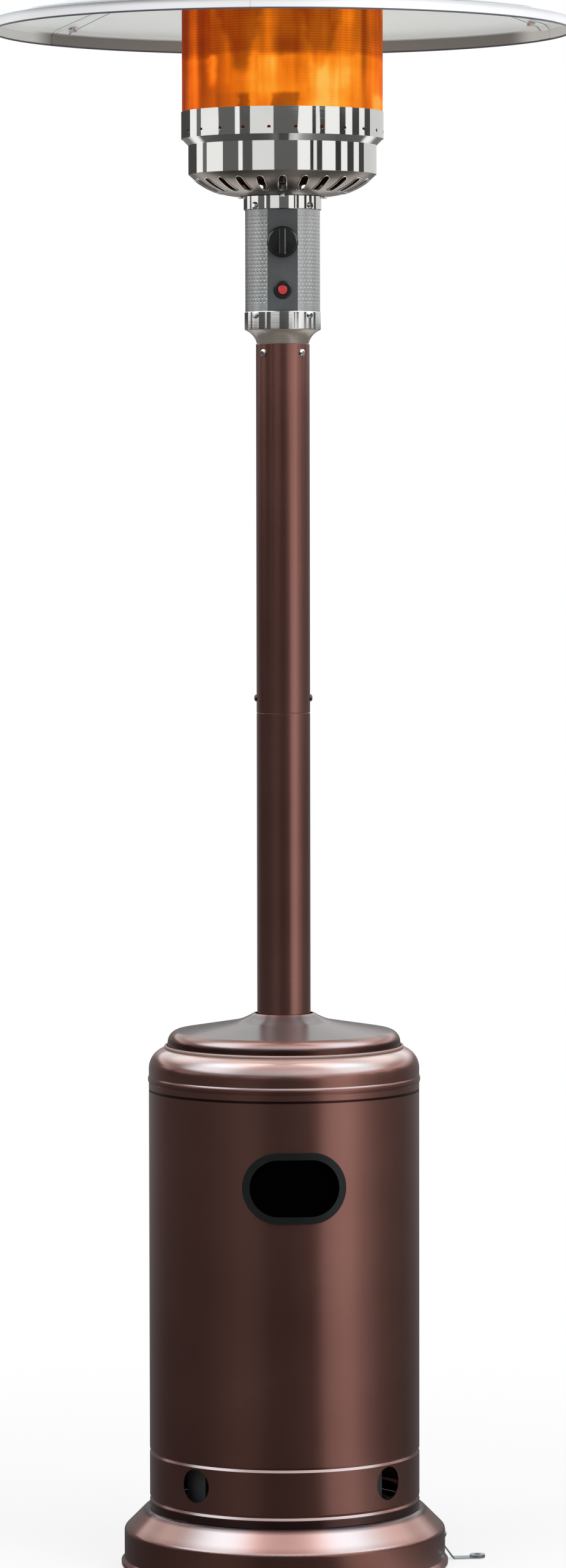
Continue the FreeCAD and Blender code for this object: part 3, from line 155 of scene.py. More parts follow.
class Finish:
    """A material or world tree, with one way to add a node and the patterns that the finishes share."""

    def __init__(self, tree):
        self.tree = tree

    def socket_of(self, made, name):
        for socket in made.inputs:
            if socket.identifier == name:
                return socket
        return made.inputs[name]

    def feed(self, socket, value):
        if isinstance(value, Reading):
            self.tree.links.new(value.socket, socket)
        elif isinstance(value, bpy.types.NodeSocket):
            self.tree.links.new(value, socket)
        else:
            socket.default_value = value

    def node(self, kind, settings, sockets):
        made = self.tree.nodes.new(kind)
        for name, setting in settings.items():
            if name == "stops":
                self.set_stops(made.color_ramp.elements, setting)
            else:
                setattr(made, name, setting)
        for name, value in sockets.items():
            self.feed(self.socket_of(made, name), value)
        return made

    def set_stops(self, elements, stops):
        while len(elements) < len(stops):
            elements.new(1.0)
        for element, (position, colour) in zip(elements, stops):
            element.position = position
            element.color = (*colour, 1.0)

    def reading(self, kind, settings, sockets, output):
        return Reading(self, self.node(kind, settings, sockets).outputs[output])

    def place(self):
        """Rest place in metres, as a vector."""
        return self.node("ShaderNodeTexCoord", {}, {}).outputs["Object"]

    def axes(self, where):
        """The x, y and z of a vector."""
        split = self.node("ShaderNodeSeparateXYZ", {}, {"Vector": where})
        return [Reading(self, split.outputs[axis]) for axis in "XYZ"]

    def vector(self, x, y, z):
        return self.node("ShaderNodeCombineXYZ", {}, {"X": x, "Y": y, "Z": z}).outputs["Vector"]

    def noise(self, where, scale=1.0, detail=3.0):
        """Cloudy pattern from 0 to 1."""
        sockets = {"Vector": where, "Scale": scale, "Detail": detail, "Roughness": 0.5}
        return self.reading("ShaderNodeTexNoise", {}, sockets, "Fac")

    def ramp(self, value, stops, blend="LINEAR"):
        made = self.node("ShaderNodeValToRGB", {"stops": stops}, {"Fac": value})
        made.color_ramp.interpolation = blend
        return made.outputs["Color"]

    def mix(self, share, first, second, way="MIX"):
        made = self.node(
            "ShaderNodeMix", {"data_type": "RGBA", "blend_type": way},
            {"Factor_Float": share, "A_Color": opaque(first), "B_Color": opaque(second)})
        return next(output for output in made.outputs if output.identifier == "Result_Color")

    def bump(self, height, depth, strength):
        """Normal for a height pattern, with depth metres for each 1 of height."""
        sockets = {"Height": height, "Distance": depth, "Strength": strength}
        return self.node("ShaderNodeBump", {}, sockets).outputs["Normal"]


def opaque(colour):
    return (*colour, 1.0) if isinstance(colour, tuple) and len(colour) == 3 else colour


def shaded(colour, share):
    """A colour made darker by one share."""
    return tuple(part * share for part in colour)


def radius_of(x, y):
    """Distance from a middle line."""
    return (x * x + y * y) ** 0.5


def turn_of(x, y):
    """Angle round the post from the front, in radians, more than 0 to the right."""
    return x.angle_with(0.0 - y)


def new_material(name):
    material = bpy.data.materials.new(name)
    material.use_nodes = True
    return material, Finish(material.node_tree), material.node_tree.nodes["Principled BSDF"]


def give(finish, shader, sockets):
    for name, value in sockets.items():
        finish.feed(shader.inputs[name], opaque(value))


# Finishes

def bronze_paint(name):
    """Satin metallic paint under a thin clear coat, with painted shade where the housing sits down, in its
    top groove and round the lid's foot, painted shade on the lid's top, and painted highlights on the
    base's cone and the housing's crest.
    """
    material, finish, shader = new_material(name)
    where = finish.place()
    x, y, z = finish.axes(where)
    flake = finish.noise(where, 1400.0, 1.0)
    cloud = finish.noise(where, 7.0)
    brushed = finish.noise(finish.vector(x * 6.0, y * 6.0, z * 900.0), detail=2.0)
    tone = flake * 0.4 + cloud * 0.4 + brushed * 0.08 + 0.06
    deep, plain, pale = (0.238, 0.094, 0.073), (0.284, 0.118, 0.093), (0.334, 0.146, 0.117)
    colour = finish.ramp(tone, [(0.3, deep), (0.5, plain), (0.7, pale)])
    radius = radius_of(x, y)
    past_shell = radius - shell_radius
    past_lid = radius - lid_radius
    above_base = z - base_top
    above_foot = z - lid_foot
    # Painted shade where the housing sits down, in the groove under its top and on the lid's foot
    seat = above_base.eased(-0.0065, -0.002) * above_base.fading(0.009, 0.013)
    groove = (z - shell_top).near(0.0012, 0.0010, 0.0026) * past_shell.eased(-0.008, -0.003)
    foot_height = above_foot.eased(0.0001, 0.0006) * above_foot.fading(0.0107, 0.0152)
    foot = foot_height * past_lid.eased(-0.006, -0.004) * past_lid.fading(0.0002, 0.0005)
    painted_shade = (seat * 0.8).largest(groove * 0.95).largest(foot * 0.75)
    # Painted shade on the lid's top, darker, greyer and duller, and painted highlights on the base's cone
    # and on the housing's crest
    lid_top = past_lid.eased(-0.014, -0.002, 1.0, 0.4) * (radius - post_radius).eased(0.002, 0.012)
    # Painted shade over the lid's top, from its foot in to the post
    dust = above_foot.eased(0.0142, 0.0252) * lid_top
    cone_height = above_base.eased(-0.029, -0.020) * above_base.fading(-0.0075, -0.004)
    cone = cone_height * past_shell.eased(-0.003, 0.007)
    crest_height = above_foot.eased(-0.0148, -0.0038) * above_foot.fading(0.0002, 0.0008)
    crest = crest_height * past_lid.eased(-0.0005, 0.0005)
    with_painted_shade = finish.mix(painted_shade, colour, (0.045, 0.018, 0.018))
    with_lid_shade = finish.mix(dust * 0.8, with_painted_shade, (0.078, 0.068, 0.064))
    # Painted highlight on the base's cone, and below it on the housing's crest
    painted_highlight = finish.mix(cone * 0.27, with_lid_shade, (0.58, 0.33, 0.28))
    give(finish, shader, {
        "Base Color": finish.mix(crest * 0.65, painted_highlight, (0.74, 0.55, 0.50)),
        "Metallic": 0.97 - dust * 0.35 - crest * 0.4,
        "Roughness": brushed * 0.02 + cloud * 0.06 + 0.22,
        "Coat Weight": 0.55 - dust * 0.4 - groove.largest(foot) * 0.5,
        "Coat Roughness": 0.12,
        "Normal": finish.bump(flake * 0.7 - groove * 40.0, 0.00002, 0.12),
    })
    return material


def mirror_steel(name, roughness, soot_within=0.0):
    """Polished stainless steel with faint drawing lines and soft smudges, sooted inside a radius."""
    material, finish, shader = new_material(name)
    where = finish.place()
    x, y, z = finish.axes(where)
    tint = (0.86, 0.855, 0.835)
    lines = finish.noise(finish.vector(x * 10.0, y * 10.0, z * 1500.0), detail=2.0)
    smudge = finish.noise(where, 24.0, 4.0)
    polished = finish.mix(smudge * 0.35, tint, shaded(tint, 0.82))
    soot = radius_of(x, y).fading(soot_within - 0.0002, soot_within)
    give(finish, shader, {
        "Base Color": finish.mix(soot, polished, (0.03, 0.024, 0.02)),
        "Metallic": 1.0,
        "Roughness": smudge * 0.04 + lines * 0.02 + soot * 0.5 + roughness,
        "Normal": finish.bump(lines, 0.00002, 0.25),
    })
    return material


def brushed_panel(name):
    """Brushed sheet of the head's sides, with rows of fine vent dimples painted a little darker as shade in
    them, and painted shade in upright bands.
    """
    material, finish, shader = new_material(name)
    x, y, z = finish.axes(finish.place())
    grain = finish.noise(finish.vector(x * 1300.0, y * 1300.0, z * 9.0))
    row_pitch, column_pitch = 0.0052, 0.0060
    along = turn_of(x, y) * panel_radius
    row = (z / row_pitch) % 1.0 - 0.5
    staggered = ((z / (2 * row_pitch)) % 1.0 > 0.5) * 0.5
    column = (along / column_pitch + staggered) % 1.0 - 0.5
    spot = (row * row * 0.75 + column * column).fading(0.035, 0.075)
    inside = (z - panel_bottom).eased(0.017, 0.020) * (z - panel_top).fading(-0.019, -0.016)
    dimple = spot * inside
    sheet_colour = finish.ramp(grain, [(0.25, (0.72, 0.72, 0.71)), (0.75, (0.94, 0.94, 0.93))])
    # Painted shade in upright bands: the left panel's outer edge, the right half and a band on the right
    # panel
    left_painted_shade = x.fading(-0.051, -0.034) * 0.6
    right_painted_shade = x.eased(-0.005, 0.005) * 0.4
    right_painted_band = x.near(0.027, 0.005, 0.02) * 0.6
    dull = left_painted_shade.largest(right_painted_shade).largest(right_painted_band)
    give(finish, shader, {
        "Base Color": finish.mix(dull.largest(dimple * 0.4), sheet_colour, (0.16, 0.16, 0.16)),
        "Metallic": 1.0,
        "Roughness": grain * 0.16 + 0.26,
        "Normal": finish.bump(grain * 0.15 - dimple, 0.0004, 0.5),
    })
    return material


def zinc_steel(name, tint):
    """Zinc plate: cloudy spangle over a fine grain."""
    material, finish, shader = new_material(name)
    where = finish.place()
    cells = {"Vector": where, "Scale": 260.0}
    spangle = finish.reading("ShaderNodeTexVoronoi", {"feature": "F1"}, cells, "Distance")
    cloud = finish.noise(where, 60.0, 4.0)
    give(finish, shader, {
        "Base Color": finish.mix(cloud * 0.5 + spangle * 0.25, tint, shaded(tint, 0.62)),
        "Metallic": 1.0,
        "Roughness": cloud * 0.2 + spangle * 0.1 + 0.24,
        "Normal": finish.bump(cloud, 0.0001, 0.3),
    })
    return material


def heated_steel(name):
    """Burner steel tinted straw and blue where the flame heats it."""
    material, finish, shader = new_material(name)
    where = finish.place()
    height = finish.axes(where)[2]
    cloud = finish.noise(where, 30.0, 4.0)
    heat = (height - collar_top).eased(-0.08, -0.01) * 0.7 + cloud * 0.3
    grey, straw = (0.42, 0.40, 0.37), (0.40, 0.27, 0.13)
    purple, blue = (0.26, 0.13, 0.10), (0.13, 0.13, 0.19)
    give(finish, shader, {
        "Base Color": finish.ramp(heat, [(0.1, grey), (0.45, straw), (0.7, purple), (0.95, blue)]),
        "Metallic": 1.0,
        "Roughness": cloud * 0.2 + 0.28,
        "Normal": finish.bump(cloud, 0.0002, 0.2),
    })
    return material


def bowl_steel(name, metallic):
    """Warm satin steel of the burner bowl and neck, with pressed rings."""
    material, finish, shader = new_material(name)
    where = finish.place()
    x, y = finish.axes(where)[:2]
    rings = finish.noise(finish.vector(radius_of(x, y) * 1200.0, 0.0, 0.0), detail=2.0)
    cloud = finish.noise(where, 18.0)
    deep, pale = (0.27, 0.235, 0.20), (0.42, 0.375, 0.33)
    give(finish, shader, {
        "Base Color": finish.ramp(cloud * 0.6 + rings * 0.4, [(0.3, deep), (0.7, pale)]),
        "Metallic": metallic,
        "Roughness": cloud * 0.12 + rings * 0.06 + 0.2,
        "Normal": finish.bump(rings, 0.00005, 0.3),
    })
    return material


def emitter_glow(name):
    """Fine woven screen that glows in upright streaks: orange below, amber above, redder at both sides."""
    material, finish, shader = new_material(name)
    x, y, z = finish.axes(finish.place())
    up = z - collar_top
    level_pitch, upright_pitch = 0.0036, 0.0044
    level_wires = (z * (2 * math.pi / level_pitch)).sine() * 0.5 + 0.5
    upright_wires = (turn_of(x, y) * (2 * math.pi * screen_radius / upright_pitch)).sine() * 0.5 + 0.5
    weave = level_wires * 0.7 + upright_wires * 0.3
    streak = finish.noise(finish.vector(x * 30.0, y * 30.0, z * 4.0), detail=2.5)
    block = finish.noise(finish.vector((x - x % 0.034) * 30.0, y * 4.0, z * 30.0), detail=1.0)
    sway = finish.noise(finish.vector(x * 22.0, y * 22.0, z * 55.0), detail=2.0) - 0.5
    bent = x + sway * 0.020
    above = (up + (block - 0.5) * 0.016 + sway * 0.01).eased(0.068, 0.080)
    below = 1 - above
    # The brighter parts
    flame = bent.near(0.066, 0.006, 0.048) * up.eased(0.030, 0.090, 1.0, 0.35)
    heart = x.near(0.0, 0.028, 0.036) * below
    pale_streak = (x + sway * 0.008).near(-0.097, 0.001, 0.011) * up.eased(0.020, 0.046) * below
    right_foot = x.eased(0.122, 0.132) * up.fading(0.010, 0.028)
    brighter = flame * 0.30 + heart * 0.06 + pale_streak * 0.34 + right_foot * 0.3
    # The darker parts
    left = x.fading(-0.125, -0.035)
    left_edge = x.fading(-0.136, -0.128).largest(x.near(-0.114, 0.001, 0.007) * 0.5)
    right_line = x.near(0.1145, 0.001, 0.006) * up.eased(0.020, 0.080, 0.4, 1.0)
    shade = x.near(-0.062, 0.026, 0.036) * up.eased(0.016, 0.022, 1.0, 0.5) * below
    left_half = (up - 0.045) * 0.28
    left_wedge = bent.near(-0.057, left_half, left_half + 0.012) * up.eased(0.038, 0.062)
    right_half = (up - 0.051) * 0.28
    right_wedge = bent.near(0.053, right_half, right_half + 0.012) * up.eased(0.044, 0.068)
    shadow = x.near(0.004, 0.014, 0.022) * above * up.fading(0.086, 0.104)
    low = (up + sway * 0.012).fading(0.014, 0.021)
    patch = bent.near(0.003, 0.014, 0.020).largest(bent.near(-0.053, 0.005, 0.010) * 0.8) * low
    darker = above * 0.26 + left * 0.08 + left_edge * 0.3 + right_line * 0.25 + shade * 0.12
    darker = darker + left_wedge * 0.24 + right_wedge * 0.2 + shadow * 0.16 + patch * 0.34
    grain = (streak - 0.5) * 1.1 + (block - 0.5) * 0.3 + (level_wires - 0.5) * (above * 0.08 + 0.03)
    glow = finish.ramp(grain + brighter - darker + 0.67, [
        (0.0, (0.20, 0.022, 0.0)),
        (0.2, (0.28, 0.040, 0.0004)),
        (0.4, (0.40, 0.085, 0.002)),
        (0.55, (0.62, 0.125, 0.002)),
        (0.68, (0.84, 0.185, 0.004)),
        (0.8, (0.93, 0.25, 0.010)),
        (0.9, (0.95, 0.34, 0.025)),
        (1.0, (0.95, 0.49, 0.08)),
    ])
    red_share = (left * 0.75).largest(x.eased(0.112, 0.132) * 0.6)
    redder = finish.mix(red_share, glow, finish.mix(1.0, glow, (1.0, 0.6, 0.4), "MULTIPLY"))
    outside = (radius_of(x, y) - screen_radius).eased(-0.0007, -0.0003)
    give(finish, shader, {
        "Base Color": (0.03, 0.012, 0.004),
        "Roughness": weave * 0.2 + 0.5,
        "Specular IOR Level": 0.02,
        "Emission Color": finish.mix(outside, (0.05, 0.010, 0.0), redder),
        "Emission Strength": 1.0,
        "Normal": finish.bump(weave, 0.0005, 0.5),
    })
    return material


def reflector_sheet(name):
    """Spun aluminium with round polishing lines and faint dents: painted shade on top, dull underneath.

    The lip is pale outside, with painted shade on its inner face at the front and back, a painted shadow
    along its hem, and painted shadow lines along the seams below.
    """
    material, finish, shader = new_material(name)
    where = finish.place()
    x, y, z = finish.axes(where)
    radius = radius_of(x, y)
    past_rim = radius - rim_radius
    above_rim = z - rim_height
    rings = finish.noise(finish.vector(radius * 900.0, z * 900.0, 0.0))
    cloud = finish.noise(where, 5.0, 2.0)
    upward = finish.axes(finish.node("ShaderNodeNewGeometry", {}, {}).outputs["Normal"])[2]
    under = upward.fading(-0.6, -0.3)
    # Painted shade on the top's upward faces, less towards the rim
    top = upward.eased(0.3, 0.6) * past_rim.eased(-0.10, -0.02, 1.0, 0.1)
    lip_outside = past_rim.eased(-0.0006, -0.0003) * above_rim.fading(0.008, 0.017)
    lip_inside = past_rim.fading(-0.0006, -0.0003) * above_rim.fading(0.0165, 0.020)
    # A painted shadow along the lip's hem, and painted shade on the lip's inner face at the front and back
    hem_shadow = above_rim.fading(0.0018, 0.0030)
    soot = lip_inside * abs(x).fading(0.33, 0.365)
    # Painted shadow lines along the lapped seams underneath
    seam_pitch = math.radians(120.0)
    seam_start = math.radians(20.0) + (x > 0.0) * math.radians(4.0)
    past_seam = (y.angle_with(x) + 2 * math.pi - seam_start) % seam_pitch
    seam_line = (past_seam.smallest(seam_pitch - past_seam) * radius).fading(0.0018, 0.0045) * under
    pale_sheet = finish.mix(top, (0.85, 0.845, 0.875), (0.58, 0.585, 0.60))
    deep_sheet = finish.mix(top, (0.70, 0.695, 0.72), (0.44, 0.445, 0.46))
    sheet_colour = finish.mix(rings * 0.4 + cloud * 0.3, pale_sheet, deep_sheet)
    dull_sheet = finish.mix(cloud * 0.3, (0.86, 0.91, 0.89), (0.78, 0.83, 0.81))
    dull_under = finish.mix(under.largest(lip_inside), sheet_colour, dull_sheet)
    pale_lip = finish.mix(lip_outside, dull_under, (0.94, 0.94, 0.95))
    lip_and_seam_shade = finish.mix(soot.largest(seam_line * 0.85), pale_lip, (0.26, 0.265, 0.25))
    give(finish, shader, {
        "Base Color": finish.mix(hem_shadow, lip_and_seam_shade, (0.09, 0.088, 0.115)),
        "Metallic": 1 - (under * 0.8).largest(lip_outside * 0.6).largest(lip_inside * 0.75),
        "Roughness": rings * 0.12 + cloud * 0.1 + under * 0.15 + 0.3,
        "Normal": finish.bump(cloud * 0.9 + rings * 0.1, 0.0015, 0.25),
    })
    return material


def moulded_plastic(name, colour, roughness, grain=900.0):
    """Moulded plastic with a fine spark-eroded grain and slight wear in its sheen."""
    material, finish, shader = new_material(name)
    where = finish.place()
    fine = finish.noise(where, grain, 2.0)
    worn = finish.noise(where, 35.0, 4.0)
    faded = tuple(part * 1.5 + 0.002 for part in colour)
    give(finish, shader, {
        "Base Color": finish.mix(worn * 0.5, colour, faded),
        "Roughness": worn * 0.16 + fine * 0.08 + roughness - 0.1,
        "Specular IOR Level": 0.5,
        "Normal": finish.bump(fine, 0.0001, 0.3),
    })
    return material


def knob_plastic(name):
    """Gloss black knob with painted highlights along its grip bar's edges, the right one most."""
    material, finish, shader = new_material(name)
    where = finish.place()
    x, y = finish.axes(where)[:2]
    fine = finish.noise(where, 900.0, 2.0)
    worn = finish.noise(where, 120.0)
    raised = (y - knob_face).fading(0.0009, 0.0019)
    # Painted highlights along the grip bar's raised edges, broken up by a noise
    right_edge = x.near(0.0036, 0.0005, 0.0013) * 0.9
    left_edge = x.near(-0.0042, 0.0003, 0.0008) * 0.4
    painted_highlight = right_edge.largest(left_edge) * raised * worn.eased(0.25, 0.5, 0.4, 1.0)
    give(finish, shader, {
        "Base Color": finish.mix(painted_highlight, (0.007, 0.0072, 0.0078), (0.12, 0.12, 0.12)),
        "Roughness": worn * 0.16 + fine * 0.08 + painted_highlight * 0.2 + 0.2,
        "Specular IOR Level": 0.5,
        "Normal": finish.bump(fine, 0.0001, 0.3),
    })
    return material


def handle_plastic(name):
    """Black moulding of the hand holds: a satin rim round a cup that hardly shines, painted almost black as
    the shade inside the hand hold.
    """
    material, finish, shader = new_material(name)
    where = finish.place()
    x, y = finish.axes(where)[:2]
    fine = finish.noise(where, 600.0, 2.0)
    worn = finish.noise(where, 30.0)
    rim = (radius_of(x, y) - shell_radius).eased(-0.0005, 0.0015)
    # The cup inside the rim is painted almost black, as the shade inside the hand hold
    rim_colour = finish.mix(worn, (0.005, 0.006, 0.0055), (0.009, 0.0105, 0.0095))
    give(finish, shader, {
        "Base Color": finish.mix(rim, (0.0004, 0.0004, 0.0004), rim_colour),
        "Roughness": fine * 0.08 + worn * 0.1 + 0.28,
        "Specular IOR Level": 0.02,
        "Coat Weight": rim * 0.45,
        "Coat Roughness": 0.3,
        "Normal": finish.bump(fine, 0.00008, 0.3),
    })
    return material


def tyre_rubber(name):
    """Wheel moulding with cross treads on its running face."""
    material, finish, shader = new_material(name)
    where = finish.place()
    y, z = finish.axes(where)[1:]
    treads = 36
    back, up = y - wheel_back, z - wheel_height
    running_face = (radius_of(back, up) - wheel_radius).eased(-0.0025, -0.0005)
    tread = ((back.angle_with(up) * (treads / (2 * math.pi))) % 1.0 > 0.28) * running_face
    dust = finish.noise(where, 120.0, 4.0)
    give(finish, shader, {
        "Base Color": finish.mix(dust * 0.6, (0.018, 0.018, 0.018), (0.055, 0.052, 0.048)),
        "Roughness": dust * 0.2 + 0.5,
        "Normal": finish.bump(tread + dust * 0.1, 0.0015, 0.6),
    })
    return material


def panel_paint(name):
    """Dark grey hammered paint of the control panel."""
    material, finish, shader = new_material(name)
    where = finish.place()
    fine = finish.noise(where, 1100.0, 2.0)
    cloud = finish.noise(where, 30.0)
    deep, pale = (0.075, 0.082, 0.086), (0.125, 0.130, 0.135)
    give(finish, shader, {
        "Base Color": finish.ramp(fine * 0.6 + cloud * 0.4, [(0.3, deep), (0.7, pale)]),
        "Metallic": 0.35,
        "Roughness": fine * 0.12 + 0.36,
        "Normal": finish.bump(fine, 0.00012, 0.4),
    })
    return material


def black_paint(name):
    """Powder coat with a fine pebble."""
    material, finish, shader = new_material(name)
    pebble = finish.noise(finish.place(), 700.0)
    give(finish, shader, {
        "Base Color": finish.mix(pebble, (0.012, 0.012, 0.012), (0.035, 0.034, 0.033)),
        "Roughness": pebble * 0.2 + 0.4,
        "Normal": finish.bump(pebble, 0.0002, 0.5),
    })
    return material


def brass_fitting(name):
    """Machined brass with turning marks and dulled patches."""
    material, finish, shader = new_material(name)
    where = finish.place()
    x, y, z = finish.axes(where)
    turning = finish.noise(finish.vector(x * 60.0, y * 60.0, z * 1800.0), detail=2.0)
    dull = finish.noise(where, 45.0, 4.0)
    give(finish, shader, {
        "Base Color": finish.mix(dull * 0.7, (0.70, 0.46, 0.17), (0.33, 0.20, 0.08)),
        "Metallic": 1.0,
        "Roughness": dull * 0.25 + turning * 0.06 + 0.18,
        "Normal": finish.bump(turning, 0.00005, 0.3),
    })
    return material


def cylinder_enamel(name):
    """Grey enamel over steel, with a raised weld round the middle and rubbed patches near the foot."""
    material, finish, shader = new_material(name)
    where = finish.place()
    x, y, z = finish.axes(where)
    weld_height, weld_beads = cylinder_foot + 0.201, 130.0
    peel = finish.noise(where, 240.0, 2.0)
    rub = finish.noise(where, 16.0, 5.0)
    beads = (turn_of(x, y) * weld_beads).sine() * 0.5 + 0.5
    weld = z.near(weld_height, 0.002, 0.0055) * (beads * 0.25 + 0.75)
    worn = (rub - z * 0.35).eased(0.42, 0.5)
    give(finish, shader, {
        "Base Color": finish.mix(worn * 0.7, (0.075, 0.085, 0.095), (0.12, 0.115, 0.11)),
        "Metallic": 0.0,
        "Roughness": peel * 0.08 + worn * 0.25 + 0.28,
        "Coat Weight": 0.2,
        "Normal": finish.bump(weld + peel * 0.03, 0.0022, 0.6),
    })
    return material


def hose_rubber(name):
    """Smooth rubber with a fine spiral of wrap marks."""
    material, finish, shader = new_material(name)
    where = finish.place()
    x, y, z = finish.axes(where)
    wrap_pitch = 0.0042
    wrap = (z * (2 * math.pi / wrap_pitch) + x.angle_with(y)).sine() * 0.5 + 0.5
    dust = finish.noise(where, 200.0)
    give(finish, shader, {
        "Base Color": finish.mix(dust * 0.5, (0.016, 0.016, 0.016), (0.045, 0.043, 0.040)),
        "Roughness": dust * 0.15 + 0.45,
        "Normal": finish.bump(wrap * 0.6 + dust * 0.4, 0.0003, 0.4),
    })
    return material


# Which finish each CAD node takes

chrome = mirror_steel("polished_steel", 0.02)
brass = brass_fitting("brass_fitting")
FINISHES = {
    bronze_paint("bronze_paint"): (
        "base_shell", "housing_shell", "housing_top", "housing_lid", "lower_post", "upper_post"),
    chrome: ("lower_ring", "upper_ring", "neck_screws", "ring_screws", "bowl_screws"),
    mirror_steel("polished_cup_steel", 0.01, bowl_radius + 0.0002): ("burner_cup",),
    mirror_steel("polished_collar_steel", 0.01, collar_radius - 0.0007): ("emitter_collar",),
    brushed_panel("brushed_side_panel"): ("left_panel", "right_panel"),
    bowl_steel("warm_bowl_steel", 1.0): ("burner_bowl",),
    bowl_steel("dull_neck_steel", 0.6): ("head_neck",),
    zinc_steel("zinc_plate", (0.52, 0.53, 0.54)): (
        "leg_bolts", "post_screws", "axle", "anchor_strap", "anchor_screw", "reflector_studs",
        "post_sleeve", "regulator"),
    zinc_steel("dark_joint_screws", (0.16, 0.12, 0.11)): ("joint_screws",),
    zinc_steel("bright_seam_zinc", (0.88, 0.88, 0.88)): ("wing_nuts", "seam_bolts", "seam_nuts"),
    heated_steel("heat_tinted_steel"): (
        "emitter_cap", "burner_mixer", "burner_head", "pilot_burner", "thermocouple", "igniter_electrode"),
    emitter_glow("glowing_screen"): ("emitter_screen",),
    reflector_sheet("spun_aluminium"): ("reflector_panel_1", "reflector_panel_2", "reflector_panel_3"),
    panel_paint("grey_panel_paint"): ("control_panel",),
    moulded_plastic("gloss_black_plastic", (0.006, 0.0062, 0.0068), 0.3): ("igniter_bezel",),
    knob_plastic("knob_plastic"): ("control_knob",),
    handle_plastic("handle_plastic"): ("handle_cups",),
    moulded_plastic("matt_black_plastic", (0.009, 0.009, 0.0095), 0.46, 600.0): (
        "axle_caps", "piezo_igniter"),
    tyre_rubber("wheel_moulding"): ("wheel_left", "wheel_right"),
    black_paint("black_powder_coat"): (
        "wheel_bracket", "support_leg_1", "support_leg_2", "support_leg_3", "support_leg_4"),
    moulded_plastic("red_button_plastic", (0.46, 0.022, 0.022), 0.34): ("igniter_button",),
    moulded_plastic("handwheel_plastic", (0.02, 0.022, 0.024), 0.42): ("handwheel",),
    brass: ("knob_stem", "valve_plunger", "gas_valve", "cylinder_valve"),
    cylinder_enamel("cylinder_enamel"): ("gas_cylinder",),
    hose_rubber("hose_rubber"): ("gas_hose",),
}
for material, members in FINISHES.items():
    for member in members:
        mesh = nodes[member].data
        mesh.materials.clear()
        mesh.materials.append(material)


# Pieces that only the looks need

def link(piece, body, material):
    """Puts a new piece in the scene, on its body and with its finish."""
    bpy.context.scene.collection.objects.link(piece)
    piece.data.materials.append(material)
    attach(piece, body)


def turned_ring(name, profile, centre, segments):
    """A closed profile of radius and height pairs, turned about an upright line."""
    shape = bmesh.new()
    loops = []
    for step in range(segments):
        turn = 2 * math.pi * step / segments
        loop = []
        for radius, height in profile:
            x = centre[0] + radius * math.cos(turn)
            y = centre[1] + radius * math.sin(turn)
            loop.append(shape.verts.new((x, y, centre[2] + height)))
        loops.append(loop)
    for here, there in zip(loops, loops[1:] + loops[:1]):
        for index in range(len(profile)):
            after = (index + 1) % len(profile)
            shape.faces.new((here[index], there[index], there[after], here[after]))
    bmesh.ops.recalc_face_normals(shape, faces=shape.faces)
    mesh = bpy.data.meshes.new(name)
    shape.to_mesh(mesh)
    shape.free()
    for polygon in mesh.polygons:
        polygon.use_smooth = True
    return bpy.data.objects.new(name, mesh)


def round_wire(name, radius, roundness):
    """An empty curve that is filled out to a round wire."""
    curve = bpy.data.curves.new(name, "CURVE")
    curve.dimensions = "3D"
    curve.bevel_depth = radius
    curve.bevel_resolution = roundness
    return curve


def add_points(spline, points):
    spline.points.add(len(points) - 1)
    for point, place in zip(spline.points, points):
        point.co = (*place, 1.0)


def gas_hose():
    """The hose from the regulator, up between the legs and through the post to the gas valve."""
    curve = round_wire("rubber_hose", 0.0065, 3)
    curve.use_fill_caps = True
    spline = curve.splines.new("NURBS")
    add_points(spline, hose_route)
    spline.order_u = 3
    spline.use_endpoint_u = True
    spline.resolution_u = 24
    hose = bpy.data.objects.new("rubber_hose", curve)
    link(hose, "stand", plain_rubber)
    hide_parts("gas_hose")


def hose_ferrule(name, hose_end, rise):
    """A crimped brass sleeve with four pressed rings, rising from an end of the hose or hanging from it."""
    outer, inner, length, past_end = 0.0086, 0.0066, 0.0225, 0.0008
    pressed = outer - 0.0009
    profile = [(inner, 0.0), (outer, 0.0)]
    for ring in range(4):
        low = 0.003 + ring * 0.0042
        profile += [(outer, low), (pressed, low + 0.001), (pressed, low + 0.002), (outer, low + 0.003)]
    profile += [(outer, length - 0.001), (outer - 0.001, length), (inner, length)]
    turned = [(radius, lift * rise) for radius, lift in profile]
    place = (hose_end[0], hose_end[1], hose_end[2] + past_end * rise)
    link(turned_ring(name, turned, place, 48), "stand", brass)


def bowl_height(radius):
    """Height of the bowl's outside at a radius, in metres: a flat, then a round side."""
    flat, side = 0.060, 0.1016
    return bowl_bottom + side - math.sqrt(side ** 2 - max(radius - flat, 0.0) ** 2)


def slot_outline():
    """Points round a slot along the x axis: two half circles, and the straight runs between them."""
    half, start, end, arc_steps, straight_steps = 0.00575, 0.090, 0.125, 12, 6
    corners = []
    for middle, first_turn in ((end - half, math.pi / 2), (start + half, -math.pi / 2)):
        for step in range(arc_steps + 1):
            turn = first_turn - math.pi * step / arc_steps
            corners.append((middle + half * math.cos(turn), half * math.sin(turn)))
    outline = []
    for here, there in zip(corners, corners[1:] + corners[:1]):
        runs = straight_steps if abs(here[0] - there[0]) > half else 1
        for run in range(runs):
            share = run / runs
            outline.append([first + (second - first) * share for first, second in zip(here, there)])
    return outline


